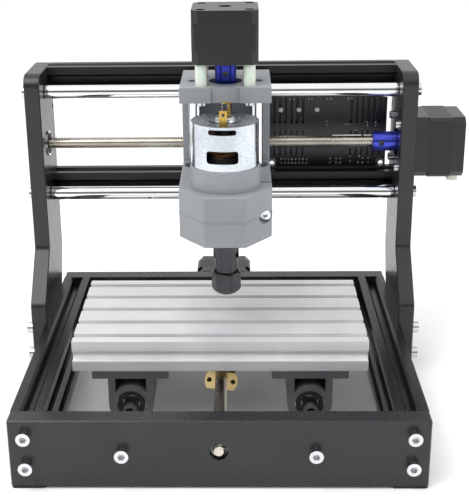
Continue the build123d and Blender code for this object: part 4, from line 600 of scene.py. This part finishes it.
FULL = (1, 1, 1)
FACING = {
    "front": (math.pi / 2, 0, 0),
    "back": (-math.pi / 2, 0, 0),
    "left": (0, -math.pi / 2, 0),
    "right": (0, math.pi / 2, 0),
    "up": (0, 0, 0),
    "down": (math.pi, 0, 0),
}

# %% [markdown]
# ## The control board's front
# The side that faces the spindle is the solder side. It shows the joints of the pins, bright rings
# round the mounting holes, a tinned strip that carries the motor current, and tinned rims round the
# air slots behind which the heat sinks sit.

# %% Joints, rims and strips of the board
board_low, board_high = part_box("control_board")
BOARD_FRONT_Y = board_low.y
board_middle = (board_low + board_high) / 2


def on_board(x_mm, z_mm):
    """A point of the board's front face in machine millimetres."""
    return Vector((MIDDLE_X + x_mm * MM, BOARD_FRONT_Y, z_mm * MM))


JOINTS = [(44.4 + 2.72 * i, z) for i in range(8) for z in (137.2, 140.1)]
JOINTS += [(x, z) for x in (81.2, 85.9, 88.9) for z in (137.5, 140.6)]
JOINTS += [(96.3, 138.2), (96.3, 142.1), (102.3, 137.4), (103.1, 142.1)]
JOINTS += [(x, z) for x in (105.6, 109.9) for z in (137.4, 140.8)]
JOINTS += [(x + d, 186.2) for x in (50.5, 64.2, 78.1, 93.6) for d in (0, 2.6)]
JOINTS += [(77.9, z) for z in (166.6, 169.2)]
JOINTS += [(92.2, 166.8), (94.7, 166.8), (100.3, 162.4)]
JOINTS += [(x, z) for x in (108.1, 114.3) for z in (166.1, 168.3)]
joint_shape = solid(
    "joint_shape", [circle(0.75, 0, 8), circle(0.6, 0.2, 8), circle(0.28, 0.6, 8), circle(0.2, 0.9, 8)]
)
joints = [(on_board(x, z), FACING["front"], (1.1, 1.1, 1.0)) for x, z in JOINTS]
scatter("board_joints", joint_shape, "frame", solder, joints)

pads = [(on_board(x, 178.1), FACING["front"], FULL) for x in (43.6, 57.1, 70.6)]
pad_shape = solid("pad_shape", [circle(1.8, 0, 20), circle(1.7, 0.12, 20), circle(0.4, 0.3, 20)])
scatter("board_pads", pad_shape, "frame", solder, pads)

VENT_PITCH, VENT_COUNT = 4.25, 6
VENT_GROUPS, VENT_ROWS = (-28.5, 28.5), (152.9, 177.7)
board_x = (board_middle.x - MIDDLE_X) / MM
rims = [
    (on_board(board_x + group + VENT_PITCH * (i - (VENT_COUNT - 1) / 2), row), FACING["front"], FULL)
    for group in VENT_GROUPS
    for row in VENT_ROWS
    for i in range(VENT_COUNT)
]
rim_shape = solid(
    "rim_shape",
    closed_ring([stadium(2.7, 20.7, 0, 16), stadium(2.7, 20.7, 0.06, 16), stadium(2.3, 20.3, 0.06, 16),
                 stadium(2.3, 20.3, 0, 16)]),
    caps=False,
)
scatter("board_rims", rim_shape, "frame", rim_metal, rims)

# %% Put the strips and hole rings on the board
BOARD_EDGE = 3.7 * MM  # from the board's edges to its corner holes
hole_rings = [
    (Vector((x, BOARD_FRONT_Y, z)), FACING["front"], FULL)
    for x in (board_low.x + BOARD_EDGE, board_high.x - BOARD_EDGE)
    for z in (board_low.z + BOARD_EDGE, board_high.z - BOARD_EDGE)
]
ring_shape = solid(
    "ring_shape",
    closed_ring([circle(3.2, 0, 28), circle(3.2, 0.08, 28), circle(1.9, 0.08, 28), circle(1.9, 0, 28)]),
    caps=False,
)
scatter("board_hole_rings", ring_shape, "frame", solder, hole_rings)

square_ring = [(0.5 * MM * x, 0.5 * MM * y) for x, y in ((-1, -1), (1, -1), (1, 1), (-1, 1))]
strip_shape = solid(
    "strip_shape", [[(x, y, 0) for x, y in square_ring], [(x, y, 0.5 * MM) for x, y in square_ring]]
)
strips = [
    (on_board(93.2, 158.3), FACING["front"], (21.5, 1.4, 0.6)),
    (on_board(109.2, 158.3), FACING["front"], (7.0, 1.4, 0.6)),
]
scatter("board_strips", strip_shape, "frame", solder, strips)

# %% [markdown]
# ## Set screws and shields
# Two small black set screws with hexagon sockets clamp each blue coupler to its shafts. The linear
# bushes of the X and Y slides and the bearings at the free ends of the X and Y screws show a black
# seal inside their bright outer ring.

# %% Set screws of the couplers
SET_SCREW = 1.85


def set_screw_shape():
    """A short threaded slug with a hexagon socket in its outer end."""
    return solid(
        "set_screw_shape",
        [circle(SET_SCREW, -1.6, 18), circle(SET_SCREW, -0.3, 18), circle(SET_SCREW - 0.25, 0, 18),
         hexagon(2.0, 0, 18), hexagon(2.0, -1.1, 18)],
    )


COUPLER_EDGE, COUPLER_RADIUS, BELOW = 6.0, 7.0, 0.7
for letter, facing in (("x", "front"), ("y", "up"), ("z", "front")):
    low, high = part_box(letter + "_coupler")
    centre = (low + high) / 2
    axis = "xyz".index(letter)
    out = Vector((0, -1, 0)) if facing == "front" else Vector((0, 0, 1))
    rows = []
    for end, inward in ((low, 1), (high, -1)):
        place = centre + out * (COUPLER_RADIUS - BELOW) * MM
        place[axis] = end[axis] + inward * COUPLER_EDGE * MM
        rows.append((place, FACING[facing], FULL))
    scatter(
        letter + "_set_screws", set_screw_shape(), letter + "_drive", black_oxide, rows
    )

# %% Shields of the bushes and end bearings
SHIELD_PROUD, BUSH_LENGTH = 0.3, 24.0


def shield(outer_mm, inner_mm):
    """A thin washer that faces along Z."""
    outlines = [circle(outer_mm, 0, 32), circle(outer_mm, SHIELD_PROUD, 32),
                circle(inner_mm, SHIELD_PROUD, 32), circle(inner_mm, 0, 32)]
    return solid("shield_shape", closed_ring(outlines), caps=False)


def rod_centres(node, axis, across, radius_mm):
    """The middles of the two rods of a node, which lie side by side along one axis."""
    low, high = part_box(node)
    centres = []
    for end, inward in ((low, 1), (high, -1)):
        centre = (low + high) / 2
        centre[across] = end[across] + inward * radius_mm * MM
        centres.append(centre)
    return centres


def bush_rows(node, rods_node, axis, across, radius_mm, facings, spans):
    """A shield at each end of each bush: spans pairs a side with a distance from it."""
    low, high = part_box(node)
    rows = []
    for centre in rod_centres(rods_node, axis, across, radius_mm):
        for side, inward_mm in spans:
            place = centre.copy()
            place[axis] = low[axis] + inward_mm * MM if side == "low" else high[axis] - inward_mm * MM
            outward = (side == "low") == (inward_mm == 0)
            rows.append((place, FACING[facings[0] if outward else facings[1]], FULL))
    return rows


BOTH_ENDS = [("low", 0), ("low", BUSH_LENGTH), ("high", 0), ("high", BUSH_LENGTH)]
for name, body, bushes, rods_node, axis, across, rod_mm, outer_mm, facings in (
    ("x_bush_shields", "x_carriage", "x_linear_bearings", "x_rods", 0, 2, 5.0, 9.1, ("left", "right")),
    ("y_bush_shields", "bed", "y_linear_bearings", "y_rods", 1, 0, 5.0, 9.1, ("front", "back")),
):
    rows = bush_rows(bushes, rods_node, axis, across, rod_mm, facings, BOTH_ENDS)
    scatter(name, shield(outer_mm, rod_mm + 0.3), body, rubber, rows)

FLANGE_THICK = 1 * MM
x_end = middle("x_lead_screw")
x_end.x = beams_low.x + FLANGE_THICK
y_end = middle("y_lead_screw")
y_end.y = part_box("front_plate")[1].y + FLANGE_THICK
end_rows = [(x_end, FACING["right"], FULL), (y_end, FACING["back"], FULL)]
scatter("end_bearing_shields", shield(7.6, 4.6), "frame", rubber, end_rows)

# %% [markdown]
# ## The spindle motor's inside
# Through the lower window of the can one sees the enamelled copper of the armature's end windings. A tree stacks wire rings whose height rises and falls once
# for each of the five poles.

# %% Windings
WIRE = 0.45 * MM
POLES = 5
wire_tree, given = start_tree(
    "end_winding",
    [("Rings", "Int"), ("Inner", "Float"), ("Outer", "Float"), ("Wave", "Float"),
     ("Wire", "Float"), ("Material", "Material")],
)
ring_points = add_node(
    wire_tree, "GeometryNodeMeshLine", inputs={"Count": given["Rings"], "Offset": (0, 0, 0)}
).outputs[0]
ring_curve = add_node(
    wire_tree, "GeometryNodeCurvePrimitiveCircle", inputs={"Resolution": 60, "Radius": 1.0}
).outputs[0]
number = add_node(wire_tree, "GeometryNodeInputIndex").outputs[0]
part_way = calculate(
    wire_tree, "DIVIDE", number, calculate(wire_tree, "SUBTRACT", given["Rings"], 1.0)
)
ring_radius = add_node(
    wire_tree, "ShaderNodeMapRange", inputs={0: part_way, 1: 0.0, 2: 1.0, 3: given["Inner"], 4: given["Outer"]}
).outputs[0]
ring_scale = add_node(
    wire_tree, "ShaderNodeCombineXYZ", inputs={0: ring_radius, 1: ring_radius, 2: 1.0}
).outputs[0]
rings = add_node(
    wire_tree,
    "GeometryNodeInstanceOnPoints",
    inputs={"Points": ring_points, "Instance": ring_curve, "Scale": ring_scale},
).outputs[0]
loose = add_node(wire_tree, "GeometryNodeRealizeInstances", inputs={0: rings}).outputs[0]
spot = add_node(wire_tree, "GeometryNodeInputPosition").outputs[0]
axes = add_node(wire_tree, "ShaderNodeSeparateXYZ", inputs={0: spot}).outputs
angle = calculate(wire_tree, "ARCTAN2", axes[1], axes[0])
lift = calculate(
    wire_tree, "MULTIPLY", given["Wave"],
    calculate(wire_tree, "COSINE", calculate(wire_tree, "MULTIPLY", angle, float(POLES))),
)
raised = add_node(wire_tree, "ShaderNodeCombineXYZ", inputs={2: lift}).outputs[0]
waved = add_node(
    wire_tree, "GeometryNodeSetPosition", inputs={"Geometry": loose, "Offset": raised}
).outputs[0]
wire_section = add_node(
    wire_tree, "GeometryNodeCurvePrimitiveCircle", inputs={"Resolution": 6, "Radius": given["Wire"]}
).outputs[0]
wires = add_node(
    wire_tree, "GeometryNodeCurveToMesh", inputs={"Curve": waved, "Profile Curve": wire_section}
).outputs[0]
end_tree(wire_tree, wires, given["Material"])

spindle_axis = middle("spindle_can")
WINDING_HEIGHTS = {"lower": 183.4, "upper": 184.6}
WINDING_RINGS, WINDING_INNER, WINDING_OUTER, WINDING_WAVE = 10, 7.4 * MM, 13.4 * MM, 0.7 * MM
for level, height_mm in WINDING_HEIGHTS.items():
    grow(
        level + "_end_winding",
        wire_tree,
        "spindle",
        {"Rings": WINDING_RINGS, "Inner": WINDING_INNER, "Outer": WINDING_OUTER,
         "Wave": WINDING_WAVE, "Wire": WIRE, "Material": copper},
        place=Matrix.Translation((spindle_axis.x, spindle_axis.y, height_mm * MM)),
        smooth=True,
    )

# %% [markdown]
# ## Floor and light
# The machine stands on a plain white floor. The studio is bright above, at both sides and behind, and
# dim at the front where the camera stands. So faces that look at the camera are a step darker than the
# tops and sides, and polished rods show a dark band between two bright ones.

# %% Floor
FLOOR_HALF = 6.0
corners = [(-FLOOR_HALF, -FLOOR_HALF, 0), (FLOOR_HALF, -FLOOR_HALF, 0), (FLOOR_HALF, FLOOR_HALF, 0),
           (-FLOOR_HALF, FLOOR_HALF, 0)]
floor_mesh = bpy.data.meshes.new("floor")
floor_mesh.from_pydata(corners, [], [(0, 1, 2, 3)])
floor = bpy.data.objects.new("floor", floor_mesh)
bpy.context.scene.collection.objects.link(floor)
floor_mesh.materials.append(
    surface("paper_white", "#fcfcfc", "#ffffff", (0.6, 0.7), (3, 3, 3), 0.002, specular_ior_level=0.2)
)

# %% Studio
bpy.context.scene.view_settings.view_transform = "Standard"
world = bpy.data.worlds.new("studio")
world.use_nodes = True
sky = world.node_tree
direction = add_node(sky, "ShaderNodeTexCoord").outputs["Generated"]
parts = add_node(sky, "ShaderNodeSeparateXYZ", inputs={0: direction}).outputs
RANGES = [  # part of the direction, where the light starts and is full, and how bright it is
    (parts[2], 0.25, 0.7, 1.15),
    (calculate(sky, "ABSOLUTE", parts[0]), 0.55, 0.9, 0.95),
    (parts[1], 0.2, 0.7, 0.85),
]
glow = 0.16
for part, begin, full, level in RANGES:
    patch = add_node(
        sky, "ShaderNodeMapRange", {"interpolation_type": "SMOOTHSTEP"},
        {0: part, 1: begin, 2: full, 3: 0.0, 4: level},
    ).outputs[0]
    glow = calculate(sky, "MAXIMUM", glow, patch)
sky.nodes["Background"].inputs["Color"].default_value = (1, 1, 1, 1)
sky.links.new(glow, sky.nodes["Background"].inputs["Strength"])
bpy.context.scene.world = world


def soft_light(name, place, target, size, power):
    """A square area light that points at the target."""
    data = bpy.data.lights.new(name, "AREA")
    data.size = size
    data.energy = power
    lamp = bpy.data.objects.new(name, data)
    lamp.matrix_world = Matrix.Translation(place) @ (
        (target - place).to_track_quat("-Z", "Y").to_matrix().to_4x4()
    )
    bpy.context.scene.collection.objects.link(lamp)
    return lamp


LAMP_SIZE = 0.8
aim = machine(0, 120, 100)
soft_light("key", machine(-500, -300, 1100), aim, LAMP_SIZE, 8)
soft_light("fill", machine(900, -200, 700), aim, LAMP_SIZE, 3)
